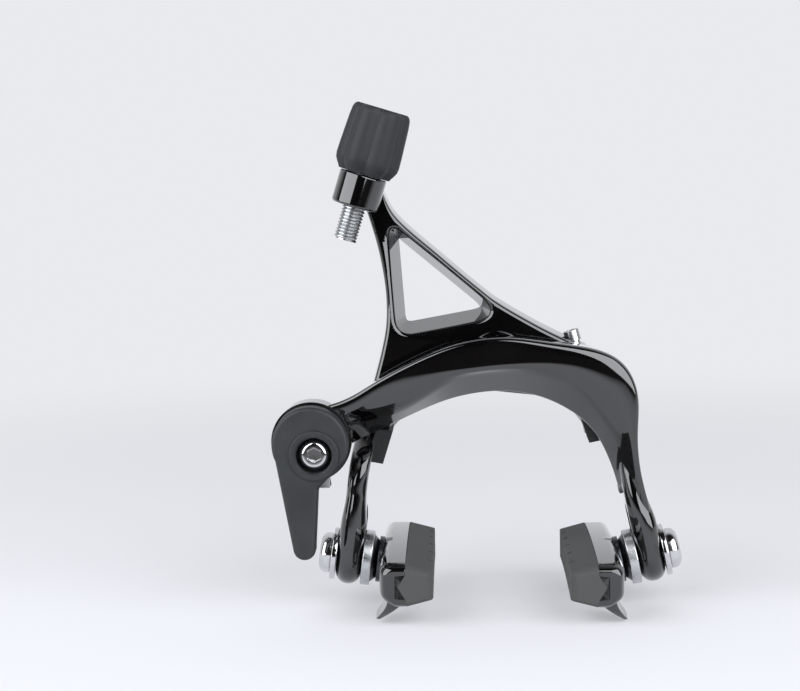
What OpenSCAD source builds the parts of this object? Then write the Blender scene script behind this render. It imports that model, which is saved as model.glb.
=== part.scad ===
// Dual-pivot caliper brake for a road bicycle.
// X is to the right seen from the front, Y points back to the fork, Z is up.
// The origin is on the mounting stud's axis, at the face that seats on the fork.

/* [Mounting] */
// Radius of the mounting stud behind the serrated washer
stud_r = 3; // [2.5:0.05:3.5]
// Radius of the stud's root inside the bracket and the serrated washer
root_r = 3.3; // [3.1:0.05:3.6]
// Length of the stud behind the mounting face
stud_len = 24; // [10:1:45]
// Radius of the serrated washer
serrated_r = 8; // [7:0.1:9]
// Thickness of the serrated washer
serrated_t = 3; // [2:0.1:4]
// Thickness of the pivot bracket
bracket_t = 4.5; // [3.5:0.1:6]

/* [Pivots] */
// Radius of the centre axle that the rear arm turns on
axle_r = 4; // [3.5:0.1:4.5]
// Wall of both pivot bushes
bush_wall = 1; // [0.8:0.1:1.5]
// Radial running clearance of a pivot
pivot_gap = 0.05; // [0.03:0.01:0.08]
// Clearance between flat faces that slide on each other
face_gap = 0.05; // [0.03:0.01:0.1]
// Thickness of the thrust washers in front of the bracket
thrust_t = 0.6; // [0.4:0.1:1]
// Side pivot's distance to the right of the centre pivot
side_x = 25; // [23:0.5:27]
// Side pivot's depth below the centre pivot
side_drop = 6; // [5:0.5:7]
// Radius of the front arm's boss on the side pivot
side_boss_r = 6; // [5.5:0.1:6.5]
// Thickness of the pivot nut in front of the rear arm
pivot_nut_t = 1.6; // [1.2:0.1:2]

/* [Arms] */
// Thickness of the rear arm's plate
plate_t = 9.5; // [8:0.1:11]
// Radius of the ring round the centre pivot on the rear arm
hub_ring_r = 6.8; // [6.5:0.1:7.2]
// Height of that ring above the plate
hub_ring_t = 0.5; // [0.3:0.1:0.8]
// Clearance between the rear arm's pieces and the front arm
arm_gap = 0.5; // [0.3:0.1:1]
// Depth of the front arm's forging at its middle
forging_t = 10; // [8:0.1:12]
// Clearance round the side boss in the rear arm
boss_gap = 0.6; // [0.4:0.1:1]

/* [Feet and pads] */
// Sideways distance of each pad bolt from the middle
foot_x = 36.6; // [35:0.1:38]
// Depth of the pad bolts below the centre pivot
reach = 48; // [46:0.5:50]
// Distance of the pad bolts in front of the mounting face
pad_y = 20; // [18:0.5:22]
// Outward lean of the right foot
right_lean = 12; // [8:0.5:13]
// Outward lean of the left foot
left_lean = 8; // [5:0.5:10]
// Thickness of a foot between its two flat faces
foot_t = 6.2; // [5:0.1:7]
// Width of a foot from front to back
foot_w = 14; // [13.6:0.1:16]
// Height adjustment of the pads
slot_travel = 10; // [6:0.5:11]
// Radius of the pad bolt
pad_bolt_r = 2.9; // [2.4:0.1:3]
// Radius of the thick inner washer
washer_r = 6.7; // [6:0.1:6.9]
// Thickness of the outer washer
outer_washer_t = 1.3; // [1:0.1:2]
// Thickness of the thick inner washer
inner_washer_t = 2.3; // [1.5:0.1:3]
// Thickness of the domed washer
domed_washer_t = 1.4; // [1:0.1:2]
// Thickness of the cupped washer
cupped_washer_t = 1.2; // [1:0.1:2]
// Length of a brake pad
pad_len = 50; // [45:1:55]
// Height of a pad holder
holder_h = 10.6; // [9:0.1:12]
// Depth of a pad holder towards the rim
holder_t = 6.2; // [5:0.1:7]
// Wall of a pad holder behind the pad
holder_wall = 2.6; // [2.2:0.1:3]
// How far the rubber stands out of its holder
rubber_out = 6.4; // [3:0.1:8]
// Length of a wheel-guide fin along the holder
fin_len = 15; // [10:1:20]
// How far a fin's tip stands below its holder
fin_drop = 3.6; // [2:0.1:6]
// Rim radius that the pads follow
rim_r = 311; // [280:1:340]

/* [Quick release] */
// Radius of the quick-release disc
disc_r = 9.1; // [8.5:0.1:10]
// Thickness of the quick-release disc
disc_t = 5; // [4:0.1:6]
// Radius of the eccentric sleeve
cam_r = 6.4; // [5.8:0.1:6.8]
// Offset of the anchor bolt from the disc's centre
cam_offset = 2.6; // [2:0.1:2.8]
// Length of the lever's tail from the disc's centre
tail_len = 25; // [20:0.5:30]
// Radius of the anchor bolt
anchor_r = 2.5; // [2:0.1:3]

/* [Adjuster] */
// Radius of the adjuster's thread
thread_r = 2.85; // [2.5:0.05:3]
// Radius of the boss that carries the adjuster
adjuster_boss_r = 5.8; // [5:0.1:6.5]
// Length of that boss
adjuster_boss_len = 8; // [6:0.5:10]
// Lean of the adjuster's axis
adjuster_lean = 17.3; // [10:0.5:20]
// Length of the thread below the boss
thread_out = 8.5; // [6:0.5:10]
// Length of the adjuster's knob
knob_len = 16.4; // [14:0.2:20]
// Largest radius of the knob
knob_r = 7.8; // [7:0.1:8.5]
// Depth of the knob's flutes
knob_flute = 0.9; // [0.4:0.1:1.2]
// Number of lobes round the knob
knob_lobes = 6; // [4:1:10]
// Radius of the socket for the cable housing
housing_r = 2.6; // [2.5:0.05:2.7]
// Depth of the socket for the cable housing
housing_depth = 9; // [6:0.5:10]

/* [Hidden] */
$fn = 64;
over = 0.5;

bracket_front = -serrated_t - bracket_t;
plate_back = bracket_front - thrust_t;
plate_front = plate_back - plate_t;
ring_front = plate_front - hub_ring_t;
nut_front = ring_front - 0.1 - pivot_nut_t;
arm_back = nut_front - arm_gap;
arm_front = arm_back - forging_t;
side_pivot = [side_x, -side_drop];
bush_r = axle_r + pivot_gap + bush_wall;
collar_r = axle_r + 1.2;
collar_t = 2.5;

black = [0.07, 0.07, 0.08];
soft_black = [0.2, 0.2, 0.21];
rubber = [0.12, 0.12, 0.12];
steel = [0.75, 0.76, 0.78];
alloy = [0.62, 0.63, 0.65];

// Curves and skins

// Middle point of a list of points
function middle(p) = [for (i = [0:len(p[0]) - 1]) let (v = [for (q = p) q[i]]) v * [for (q = p) 1] / len(p)];
function unit(v) = v / norm(v);

// Point at t on the smooth span between b and c, with neighbours a and d
function span(a, b, c, d, t) =
    0.5 * (2 * b + (c - a) * t + (2 * a - 5 * b + 4 * c - d) * t * t + (3 * b - a - 3 * c + d) * t * t * t);

// n + 1 points along the smooth curve through the points p, evenly spaced in its parameter
function rail(p, n) = let (m = len(p) - 1) [for (k = [0:n])
    let (u = k * m / n, i = min(floor(u), m - 1))
    span(p[max(i - 1, 0)], p[i], p[i + 1], p[min(i + 2, m)], u - i)];

// Points of a closed outline with round corners; each corner is [x, y, radius]
function round_outline(corners, steps) = let (m = len(corners)) [for (i = [0:m - 1])
    let (p = corners[i],
        c = [p[0], p[1]],
        a = unit([for (j = [0, 1]) corners[(i + m - 1) % m][j]] - c),
        b = unit([for (j = [0, 1]) corners[(i + 1) % m][j]] - c),
        half = acos(a * b) / 2,
        mid = c + unit(a + b) * p[2] / sin(half),
        from = c + a * p[2] / tan(half) - mid,
        turn = cross(from, c + b * p[2] / tan(half) - mid) > 0 ? 180 - 2 * half : 2 * half - 180)
    for (k = [0:steps]) let (w = turn * k / steps)
    mid + [from[0] * cos(w) - from[1] * sin(w), from[0] * sin(w) + from[1] * cos(w)]];

// Closed outline moved inwards by d, with the outline's points counter-clockwise. With fade above 0 the
// outline is two rails of equal length, and the move fades out over that many points at the rails' ends
function inset(p, d, fade = 0) = let (m = len(p), half = m / 2) [for (i = [0:m - 1])
    let (a = unit(p[i] - p[(i + m - 1) % m]),
        b = unit(p[(i + 1) % m] - p[i]),
        n = unit([-a[1] - b[1], a[0] + b[0]]),
        k = i % half,
        part = fade > 0 ? min(1, min(k, half - 1 - k) / fade) : 1)
    p[i] + n * d * part];

// Solid over rings of equal length, closed on the middle point of its first and last ring
module skin(rings) {
    n = len(rings);
    m = len(rings[0]);
    points = [for (r = rings) for (p = r) p, middle(rings[0]), middle(rings[n - 1])];
    sides = [for (i = [0:n - 2]) for (j = [0:m - 1])
        let (a = i * m + j, b = i * m + (j + 1) % m) each [[a, b + m, a + m], [a, b, b + m]]];
    first = [for (j = [0:m - 1]) [n * m, (j + 1) % m, j]];
    last = [for (j = [0:m - 1]) [n * m + 1, (n - 1) * m + j, (n - 1) * m + (j + 1) % m]];
    polyhedron(points = points, faces = concat(sides, first, last), convexity = 10);
}

// Solid between stacked copies of one outline that runs down one rail and up the other,
// with its first and last copies closed by rungs between the rails
module ladder(rings) {
    n = len(rings);
    m = len(rings[0]);
    half = m / 2;
    sides = [for (i = [0:n - 2]) for (j = [0:m - 1])
        let (a = i * m + j, b = i * m + (j + 1) % m) each [[a, b + m, a + m], [a, b, b + m]]];
    first = [for (j = [0:half - 2]) let (a = m - 1 - j) each [[j, a - 1, j + 1], [j, a, a - 1]]];
    last = [for (f = first) [for (k = [2, 1, 0]) f[k] + (n - 1) * m]];
    polyhedron(points = [for (r = rings) for (p = r) p], faces = concat(sides, first, last), convexity = 10);
}

// Cylinder along Y from y0 back to y1, round the point at [x, z]
module along_y(at, r, y0, y1) {
    translate([at[0], y1, at[1]]) rotate([90, 0, 0]) cylinder(r = r, h = y1 - y0);
}

// Flat outline in X and Z, extruded from y0 back to y1
module slab(outline, y0, y1) {
    translate([0, y1, 0]) rotate([90, 0, 0]) linear_extrude(y1 - y0) polygon(outline);
}

// Tube along Y
module tube_y(at, r, hole_r, y0, y1) {
    difference() {
        along_y(at, r, y0, y1);
        along_y(at, hole_r, y0 - over, y1 + over);
    }
}

// Places

// The right-hand side as drawn, or its mirror image
module on_side(side) {
    if (side > 0) children();
    else mirror([1, 0, 0]) children();
}

// Outward lean of the foot on one side
function lean(side) = side > 0 ? right_lean : left_lean;

// Frame on a pad bolt: X outwards along the bolt, Z up the foot
module at_foot(side) {
    on_side(side) translate([foot_x, -pad_y, -reach]) rotate([0, -lean(side), 0]) children();
}

disc_at = [-44.8, -18];
cam_angle = -69;
anchor_at = disc_at + cam_offset * [cos(cam_angle), sin(cam_angle)];
disc_back = arm_front - 0.5;
disc_front = disc_back - disc_t;
lug_back = arm_front + 7;

adjuster_at = [-31.65, -19.5, 45.15];
module at_adjuster() {
    translate(adjuster_at) rotate([0, adjuster_lean, 0]) children();
}

// Root body

module mounting_stud() {
    tip = 0.8;
    color(steel) {
        along_y([0, 0], stud_r, 0, stud_len - tip);
        along_y([0, 0], root_r, bracket_front, 0);
        translate([0, stud_len - tip, 0]) rotate([-90, 0, 0]) cylinder(r1 = stud_r, r2 = stud_r - tip, h = tip);
        along_y([0, 0], axle_r, nut_front + 0.2, bracket_front);
        along_y([0, 0], collar_r, bracket_front, bracket_front + collar_t);
    }
}

module serrated_washer() {
    teeth = 24;
    color(alloy) difference() {
        along_y([0, 0], serrated_r, -serrated_t, 0);
        along_y([0, 0], root_r + pivot_gap, -serrated_t - over, over);
        for (i = [0:teeth - 1]) rotate([0, i * 360 / teeth, 0])
            translate([serrated_r - 2, -0.6, 0]) rotate([0, 0, 45]) cube([3, 0.6, 0.6]);
    }
}

module pivot_bracket() {
    lean = atan2(-side_drop, side_x);
    pitch = norm(side_pivot);
    hub = 9.5;
    eye = bush_r + 1.3;
    tangent = asin((hub - eye) / pitch);
    outline = concat(
        [for (w = [90 - tangent:12:270 + tangent]) hub * [cos(w), sin(w)]],
        [for (w = [-90 + tangent:12:90 - tangent]) [pitch, 0] + eye * [cos(w), sin(w)]]);
    color(black) difference() {
        rotate([0, -lean, 0]) slab(outline, bracket_front, -serrated_t);
        along_y([0, 0], root_r + pivot_gap, bracket_front - over, -serrated_t + over);
        along_y([0, 0], collar_r + pivot_gap, bracket_front - over, bracket_front + collar_t + pivot_gap);
        along_y(side_pivot, bush_r, bracket_front - over, -serrated_t + over);
    }
}

module side_bush() {
    color(soft_black) tube_y(side_pivot, bush_r, axle_r + pivot_gap, bracket_front, -serrated_t);
}

module centre_thrust_washer() {
    color(steel) tube_y([0, 0], 7.6, axle_r + pivot_gap, plate_back + face_gap, bracket_front);
}

module side_thrust_washer() {
    color(steel) tube_y(side_pivot, side_boss_r, axle_r + pivot_gap, plate_back + face_gap, bracket_front);
}

module pivot_nut() {
    color(steel) difference() {
        translate([0, ring_front - 0.1, 0]) rotate([90, 30, 0]) cylinder(r = 5.6, h = pivot_nut_t, $fn = 6);
        along_y([0, 0], axle_r + pivot_gap, nut_front - over, ring_front);
    }
}

spring_r = 0.9;
spring_y = -1.6;
left_end = [-28.6, -20.4];
right_end = [22.6, -19.5];
end_y = -9.5;
guide_back = -7.5;
spring_route = [[left_end[0], end_y, left_end[1]], [left_end[0], guide_back + 0.8, left_end[1]],
    [left_end[0] + 1.6, -3.6, left_end[1] + 1.8], [-21, spring_y, -12.5], [-12.5, spring_y, -3.5],
    [-8.4, spring_y, 4.8], [0, spring_y, 9.8], [8.4, spring_y, 4.8], [13, spring_y, -3.5],
    [19, spring_y, -13.5], [right_end[0] - 0.5, -3.6, right_end[1] + 1.8],
    [right_end[0], guide_back + 0.8, right_end[1]], [right_end[0], end_y, right_end[1]]];

module return_spring() {
    path = rail(spring_route, 60);
    n = len(path);
    sides = 8;
    rings = [for (i = [0:n - 1])
        let (t = unit(path[min(i + 1, n - 1)] - path[max(i - 1, 0)]),
            a = unit(cross(t, [0, 1, 0.001])),
            b = cross(t, a))
        [for (j = [0:sides - 1]) let (w = j * 360 / sides) path[i] + spring_r * (a * cos(w) - b * sin(w))]];
    color(steel) skin(rings);
}

// Rear arm

plate_left = [[-33, 41], [-31, 35.5], [-28.6, 27], [-27.2, 19], [-26.8, 13], [-27.1, 7.5], [-28.2, 2],
    [-29.8, -4], [-31.6, -10], [-33.2, -16]];
plate_right = [[-27.5, 41.5], [-24, 34.6], [-13.6, 25.2], [-4, 17], [1, 13.2], [10.5, 7.6], [18.4, 3.6],
    [22.2, 1.6], [20.4, -1.8], [10, -5.6], [0, -7.3], [-8, -7], [-17, -9], [-24, -13.5], [-27, -18]];
window_corners = [[-26.3, 34, 2.6], [-24.3, 5.7, 4], [1.8, 10.3, 3]];
rear_leg_outer = [[-30, -8.5], [-31.4, -12.5], [-34.6, -18.5], [-36.2, -25], [-37.2, -33], [-38.2, -41]];
rear_leg_inner = [[-26, -9], [-26.8, -13], [-28.8, -18.5], [-30.8, -24], [-32.1, -32], [-33.1, -40]];
rear_leg_front = [-15.6, -15.8, -18.4, -25.4, -26.6, -26.8];
rear_leg_back = [-9.6, -9.4, -9.6, -11, -13.2, -13.2];

// Stacked outlines of the rear arm's plate, with a rounded front edge and drafted sides
function plate_rings() = let (
    count = 56,
    loop = concat(rail(plate_left, count), [for (i = [count:-1:0]) rail(plate_right, count)[i]]),
    steps = [[plate_front, 1.1], [plate_front + 0.2, 0.55], [plate_front + 0.6, 0.15], [plate_front + 1.3, 0],
        [plate_back - 1, -0.5], [plate_back, 0.3]])
    [for (s = steps) [for (p = inset(loop, s[1], 4)) [p[0], s[0], p[1]]]];

// Tapered window with a flared front edge
module window_cutter() {
    outline = round_outline(window_corners, 8);
    steps = [[plate_front - over, -1.6], [plate_front, -0.9], [plate_front + 0.35, -0.3], [plate_front + 1.1, 0],
        [plate_back + over, 2.4]];
    skin([for (s = steps) [for (p = inset(outline, s[1])) [p[0], s[0], p[1]]]]);
}

// Section of a leg between an outer and an inner edge, with rounded corners
function leg_ring(outer, inner, front, back, r) =
    let (u = unit(inner - outer), w = norm(inner - outer))
    [for (q = round_outline([[0, back, r], [0, front, r], [w, front, r], [w, back, r]], 4))
        [outer[0] + u[0] * q[0], q[1], outer[1] + u[1] * q[0]]];

module foot_eye(side) {
    top = slot_travel + washer_r + 0.4;
    bottom = 7;
    section = round_outline([[-foot_t / 2, -foot_w / 2, 2.4], [foot_t / 2, -foot_w / 2, 2.4],
        [foot_t / 2, foot_w / 2, 2.4], [-foot_t / 2, foot_w / 2, 2.4]], 5);
    profile = round_outline([[-foot_w / 2 - over, -bottom, 6.5], [foot_w / 2 + over, -bottom, 6.5],
        [foot_w / 2 + over, top, 0.5], [-foot_w / 2 - over, top, 0.5]], 8);
    at_foot(side) intersection() {
        translate([0, 0, -bottom - over]) linear_extrude(top + bottom) polygon(section);
        rotate([90, 0, 90]) translate([0, 0, -foot_t]) linear_extrude(2 * foot_t) polygon(profile);
    }
}

// Slot for the pad bolt, and the flats that its washers slide on
module foot_slot(side) {
    r = pad_bolt_r + 0.2;
    at_foot(side) {
        for (x = [foot_t / 2, -foot_t / 2 - 6]) {
            translate([x, -foot_w / 2 - 1, -9]) cube([6, foot_w + 2, slot_travel + 9]);
            translate([x, 0, slot_travel]) rotate([0, 90, 0]) cylinder(r = foot_w / 2 + 1, h = 6);
        }
        for (z = [0, slot_travel]) translate([-foot_t, 0, z]) rotate([0, 90, 0]) cylinder(r = r, h = 2 * foot_t);
        translate([-foot_t, -r, 0]) cube([2 * foot_t, 2 * r, slot_travel]);
    }
}

module rear_leg() {
    n = 20;
    outer = rail(rear_leg_outer, n);
    inner = rail(rear_leg_inner, n);
    front = rail([for (v = rear_leg_front) [v]], n);
    back = rail([for (v = rear_leg_back) [v]], n);
    skin([for (i = [0:n]) leg_ring(outer[i], inner[i], front[i][0], back[i][0], 2)]);
}

screw_at = [19.05, -13, 3.3];
screw_lean = -17;
screw_r = 1.5;
screw_head_r = 1.9;
screw_seat = 0.4;

module rear_arm() {
    color(black) difference() {
        union() {
            ladder(plate_rings());
            rear_leg();
            foot_eye(-1);
            along_y([0, 0], hub_ring_r, ring_front, plate_back);
            at_adjuster() translate([0, 0, -adjuster_boss_len]) cylinder(r = adjuster_boss_r, h = adjuster_boss_len);
        }
        window_cutter();
        along_y([0, 0], bush_r, ring_front - over, plate_back + over);
        along_y(side_pivot, side_boss_r + boss_gap, plate_front - 2, plate_back + over);
        foot_slot(-1);
        at_adjuster() translate([0, 0, -adjuster_boss_len - 12]) cylinder(r = thread_r + pivot_gap, h = 30);
        translate(screw_at) rotate([0, screw_lean, 0]) {
            translate([0, 0, -8]) cylinder(r = screw_r + 0.05, h = 16);
            translate([0, 0, screw_seat]) cylinder(r = screw_head_r + 0.05, h = 6);
        }
        left_guide_block(0);
    }
}

module rear_arm_bush() {
    color(soft_black) tube_y([0, 0], bush_r, axle_r + pivot_gap, ring_front, plate_back);
}

module centring_screw() {
    color(steel) translate(screw_at) rotate([0, screw_lean, 0]) difference() {
        union() {
            translate([0, 0, -4.4]) cylinder(r = screw_r, h = 5);
            translate([0, 0, screw_seat]) cylinder(r = screw_head_r, h = 2.6);
        }
        translate([0, 0, 1.6]) cylinder(r = 1.15, h = 3, $fn = 6);
    }
}

left_guide_outline = [[-32.5, -24.6], [-28.2, -25.4], [-25.6, -17.2], [-29.6, -16.8]];
module left_guide_block(grow) {
    slab(left_guide_outline, -19.8 - grow, guide_back + grow);
}

module left_spring_guide() {
    color(soft_black) difference() {
        left_guide_block(0);
        along_y(left_end, spring_r + 0.3, end_y - 4, guide_back + over);
    }
}

// Front arm

arm_outer = [[-43.5, -9.8], [-36.5, -8], [-28.1, -3], [-20.5, 0.9], [-10.5, 5], [1, 6.7], [12.5, 5.2], [23, 3.6],
    [30.2, -0.2], [33.5, -8], [33.1, -18], [34.2, -28], [37.2, -38], [38.7, -46]];
arm_face = [[-42, -12.5], [-35.4, -10.7], [-27.4, -5.2], [-20.2, -3.8], [-10.5, -2], [1, -0.7], [12, -0.5],
    [20.3, -2.2], [26.5, -5.6], [30.3, -9.6], [31.6, -18], [32.8, -28.4], [35.4, -38.5], [36.6, -46.4]];
arm_edge = [[-41, -14.4], [-35.6, -13.3], [-27.6, -11.7], [-20, -9], [-10.3, -3.3], [1, -1.8], [11.5, -2.8],
    [18, -5], [22.3, -8.9], [25.8, -13.6], [29.4, -20], [31.4, -29], [33.6, -39], [34.8, -46.7]];
arm_under = [[-40, -22.3], [-34.2, -19.2], [-26.3, -15.6], [-19, -12.2], [-10, -8.8], [1, -7.4], [10, -8.9],
    [17, -12.2], [21.8, -16], [25, -20.5], [27.8, -27], [29.8, -34], [31.6, -40.4], [32.6, -47]];
// Depths below the front face where the lower bevel ends, where the underside ends, and of the whole section
arm_edge_in = [2, 2.2, 2.4, 2.4, 2, 2, 2, 2.2, 2.4, 2.6, 2.6, 2.4, 2.2, 2.2];
arm_under_in = [7, 8.5, 9, 9.4, 9.4, 9.4, 9.4, 9.4, 9.2, 9, 8.6, 7, 5, 4];
arm_face_back = [0.5, 0.2, 0, 0, 0, 0, 0, 0, 0.2, 0.8, 1.8, 2.9, 3.5, 3.6];
arm_depth = [7.2, 9.4, 10, 10, 10, 10, 10.4, 12, 13, 13.8, 14, 14, 14, 14];
arm_rim = [1.2, 1.2, 1.2, 1.2, 1.2, 1.3, 1.5, 2.2, 2.8, 2.6, 1.2, 1.2, 1.6, 1.8];

// Section of the front arm at station i of its rails
function arm_ring(a, b, c, d, back, edge_in, under_in, depth, rim) =
    let (y = arm_front + back, u = unit(d - a))
    [[d[0], y + depth, d[1]],
        [d[0], y + under_in, d[1]],
        [c[0], y + edge_in, c[1]],
        [b[0], y, b[1]],
        for (w = [90:-22.5:0]) [a[0] + u[0] * rim * (1 - cos(w)), y + rim * (1 - sin(w)), a[1] + u[1] * rim * (1 - cos(w))],
        [a[0] + u[0] * 0.7, y + depth, a[1] + u[1] * 0.7]];

function numbers(v, n) = [for (p = rail([for (q = v) [q]], n)) p[0]];

module forging() {
    n = 78;
    a = rail(arm_outer, n);
    b = rail(arm_face, n);
    c = rail(arm_edge, n);
    d = rail(arm_under, n);
    back = numbers(arm_face_back, n);
    edge_in = numbers(arm_edge_in, n);
    under_in = numbers(arm_under_in, n);
    depth = numbers(arm_depth, n);
    rim = numbers(arm_rim, n);
    skin([for (i = [0:n]) arm_ring(a[i], b[i], c[i], d[i], back[i], edge_in[i], under_in[i], depth[i], rim[i])]);
}

module front_arm() {
    color(black) difference() {
        union() {
            forging();
            foot_eye(1);
            along_y(disc_at, disc_r + 0.5, arm_front, lug_back);
            along_y(side_pivot, side_boss_r, arm_front + 6, plate_back);
        }
        along_y(disc_at, cam_r + pivot_gap, arm_front - over, lug_back + over);
        along_y(disc_at, cam_offset + 6.2, lug_back, lug_back + 9);
        along_y(side_pivot, axle_r - 1 + pivot_gap, arm_front + 3.5, plate_back + over);
        foot_slot(1);
        right_guide_block();
    }
}

module side_pivot_bolt() {
    color(steel) difference() {
        union() {
            along_y(side_pivot, axle_r - 1, arm_front + 4.5, plate_back);
            along_y(side_pivot, axle_r, plate_back, face_gap - serrated_t);
            along_y(side_pivot, 5.2, face_gap - serrated_t, -0.6);
        }
        translate([side_x, -0.6, -side_drop]) rotate([90, 0, 0]) cylinder(r = 2.3, h = 1.8, $fn = 6);
    }
}

right_guide_outline = [[20.4, -15.2], [24.2, -15.4], [26.2, -20.4], [22.4, -21.2]];
module right_guide_block() {
    slab(right_guide_outline, -17, guide_back);
}

module right_spring_guide() {
    color(soft_black) difference() {
        right_guide_block();
        along_y(right_end, spring_r + 0.3, end_y - 4, guide_back + over);
    }
}

// Pads

inner_face = -foot_t / 2 - face_gap;
domed_at = inner_face - inner_washer_t;
cupped_at = domed_at - domed_washer_t;
cupped_end = cupped_at - cupped_washer_t;
holder_at = cupped_end - face_gap;
function holder_x(side) = foot_x + holder_at * cos(lean(side));
function holder_z(side) = -reach + holder_at * sin(lean(side));

// Washer on the pad bolt, from x0 outwards by t
module foot_washer(side, x0, t, r1, r2) {
    at_foot(side) translate([x0, 0, 0]) rotate([0, 90, 0]) difference() {
        cylinder(r1 = r1, r2 = r2, h = t);
        translate([0, 0, -over]) cylinder(r = pad_bolt_r + 0.25, h = t + 2 * over);
    }
}

module pad_bolt(side) {
    head_at = foot_t / 2 + face_gap + outer_washer_t;
    head_r = 4.9;
    head_h = 3;
    tip = holder_at - 1.6;
    color(steel) at_foot(side) rotate([0, 90, 0]) difference() {
        union() {
            translate([0, 0, tip]) cylinder(r = pad_bolt_r, h = head_at - tip + over);
            translate([0, 0, head_at]) intersection() {
                cylinder(r = head_r, h = head_h);
                translate([0, 0, head_h - 7]) sphere(r = 7);
            }
        }
        translate([0, 0, head_at + head_h - 2.2]) cylinder(r = 2.3, h = 5, $fn = 6);
    }
}

module outer_washer(side) {
    color(steel) foot_washer(side, foot_t / 2 + face_gap, outer_washer_t, washer_r - 0.4, washer_r - 0.4);
}

module inner_washer(side) {
    color(steel) foot_washer(side, domed_at, inner_washer_t, washer_r, washer_r);
}

module domed_washer(side) {
    color(alloy) foot_washer(side, cupped_at, domed_washer_t, 4.6, 5.9);
}

module cupped_washer(side) {
    color(soft_black) foot_washer(side, cupped_end, cupped_washer_t, 5.6, 5.6);
}

// Section in height and X, swept along the rim's curve over a length
module along_rim(side, section, length) {
    sweep = length / rim_r * 180 / PI;
    on_side(side) translate([0, -pad_y, holder_z(side) - rim_r]) rotate([0, -90, 0]) rotate([0, 0, -sweep / 2])
        rotate_extrude(angle = sweep, $fn = 720) polygon([for (p = section) [rim_r + p[0], -p[1]]]);
}

// Curved fin that leads a wheel between the pads, from the holder's lower side at its front end
module fin(side) {
    n = 8;
    sag = pad_len * pad_len / (8 * rim_r);
    fin_root = 0.9;
    z = holder_z(side) - holder_h / 2 - sag;
    x = holder_x(side);
    front = -pad_y - pad_len / 2 + 0.6;
    rings = [for (i = [0:n])
        let (t = i / n,
            drop = fin_root - t * (fin_drop + fin_root),
            mid = x - 3.6 + 4 * pow(t, 1.3),
            half = 2 - 1.4 * t,
            y0 = front + 2.6 * t * t,
            y1 = front + fin_len - 6 * t)
        [[mid - half, y0, z + drop], [mid + half, y0, z + drop], [mid + half, y1, z + drop + 0.9], [mid - half, y1, z + drop + 0.9]]];
    on_side(side) skin(rings);
}

module pad_holder(side) {
    h = holder_h / 2;
    x = holder_x(side);
    lip = x - holder_t;
    back = x - holder_wall;
    color(black) difference() {
        union() {
            along_rim(side, [[h - 1.5, x], [h, x - 1.5], [h, lip], [h - 1.1, lip], [h - 1.5, back],
                [1.5 - h, back], [1.1 - h, lip], [-h, lip], [-h, x - 3], [2.5 - h, x]], pad_len);
            at_foot(side) translate([holder_at - 1.6, 0, 0]) rotate([0, 90, 0]) cylinder(r = 5.6, h = 1.6);
            fin(side);
        }
        at_foot(side) translate([holder_at - 6, 0, 0]) rotate([0, 90, 0]) cylinder(r = pad_bolt_r + pivot_gap, h = 7);
        at_foot(side) translate([holder_at, 0, 0]) rotate([0, 90, 0]) cylinder(r = 5.9, h = 4);
        pad_screw_place(side) cylinder(r = 1.55, h = 6, center = true);
    }
}

module pad_screw_place(side) {
    on_side(side) translate([holder_x(side), -pad_y - 11, holder_z(side) - 1]) rotate([0, 90, 0]) children();
}

module brake_pad(side) {
    h = holder_h / 2;
    x = holder_x(side);
    lip = x - holder_t;
    back = x - holder_wall;
    face = lip - rubber_out;
    color(rubber) along_rim(side, [[h - 1.5, back], [h - 1.1, lip], [h, lip], [h - 1.7, face], [1.7 - h, face],
        [-h, lip], [1.1 - h, lip], [1.5 - h, back]], pad_len);
}

module pad_screw(side) {
    color(steel) pad_screw_place(side) {
        translate([0, 0, 1 - holder_wall]) cylinder(r = 1.5, h = holder_wall - 0.6);
    }
}

// Quick release and cable anchor

ring_r = 6;
ring_out = 0.5;
recess_r = 4.3;
module quick_release_lever() {
    tip = disc_at + tail_len * [-0.07, -1];
    tip_r = 2.7;
    outline = concat(
        [for (w = [-25:15:205]) disc_at + disc_r * [cos(w), sin(w)]],
        [for (w = [188:20:368]) tip + tip_r * [cos(w), sin(w)]],
        [disc_at + [1.8, -10.4]]);
    color(soft_black) difference() {
        union() {
            slab(outline, disc_front, disc_back);
            along_y(anchor_at, ring_r, disc_front - ring_out, disc_front + 1);
        }
        along_y(anchor_at, recess_r, disc_front - 2 * ring_out, disc_front + 3.4);
        along_y(disc_at, cam_r - 0.8, disc_back - 1, disc_back + over);
        along_y(anchor_at, anchor_r + pivot_gap, disc_front, disc_back + over);
    }
}

module eccentric_sleeve() {
    color(alloy) difference() {
        union() {
            along_y(disc_at, cam_r, disc_back, lug_back + 0.1);
            along_y(disc_at, cam_r - 0.8 - pivot_gap, disc_back - 1 + pivot_gap, disc_back);
        }
        along_y(anchor_at, anchor_r + pivot_gap, disc_back - 2, lug_back + 1);
    }
}

plate_y = lug_back + 0.3;
module anchor_bolt() {
    color(steel) difference() {
        union() {
            intersection() {
                along_y(anchor_at, 3.7, disc_front + 0.6, disc_front + 3.2);
                translate([anchor_at[0], disc_front + 0.6 + 6, anchor_at[1]]) sphere(r = 6);
            }
            along_y(anchor_at, anchor_r, disc_front + 3, plate_y + 6.4);
        }
        translate([anchor_at[0], disc_front + 2.4, anchor_at[1]]) rotate([90, 0, 0]) cylinder(r = 2.2, h = 3, $fn = 6);
    }
}

module anchor_plate() {
    outline = concat([for (w = [-60:15:240]) anchor_at + 5.6 * [cos(w), sin(w)]],
        [anchor_at + [-0.6, -10.2], anchor_at + [2.8, -10.2]]);
    color(steel) difference() {
        slab(outline, plate_y, plate_y + 1.5);
        along_y(anchor_at, anchor_r + pivot_gap, plate_y - over, plate_y + 2);
    }
}

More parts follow.
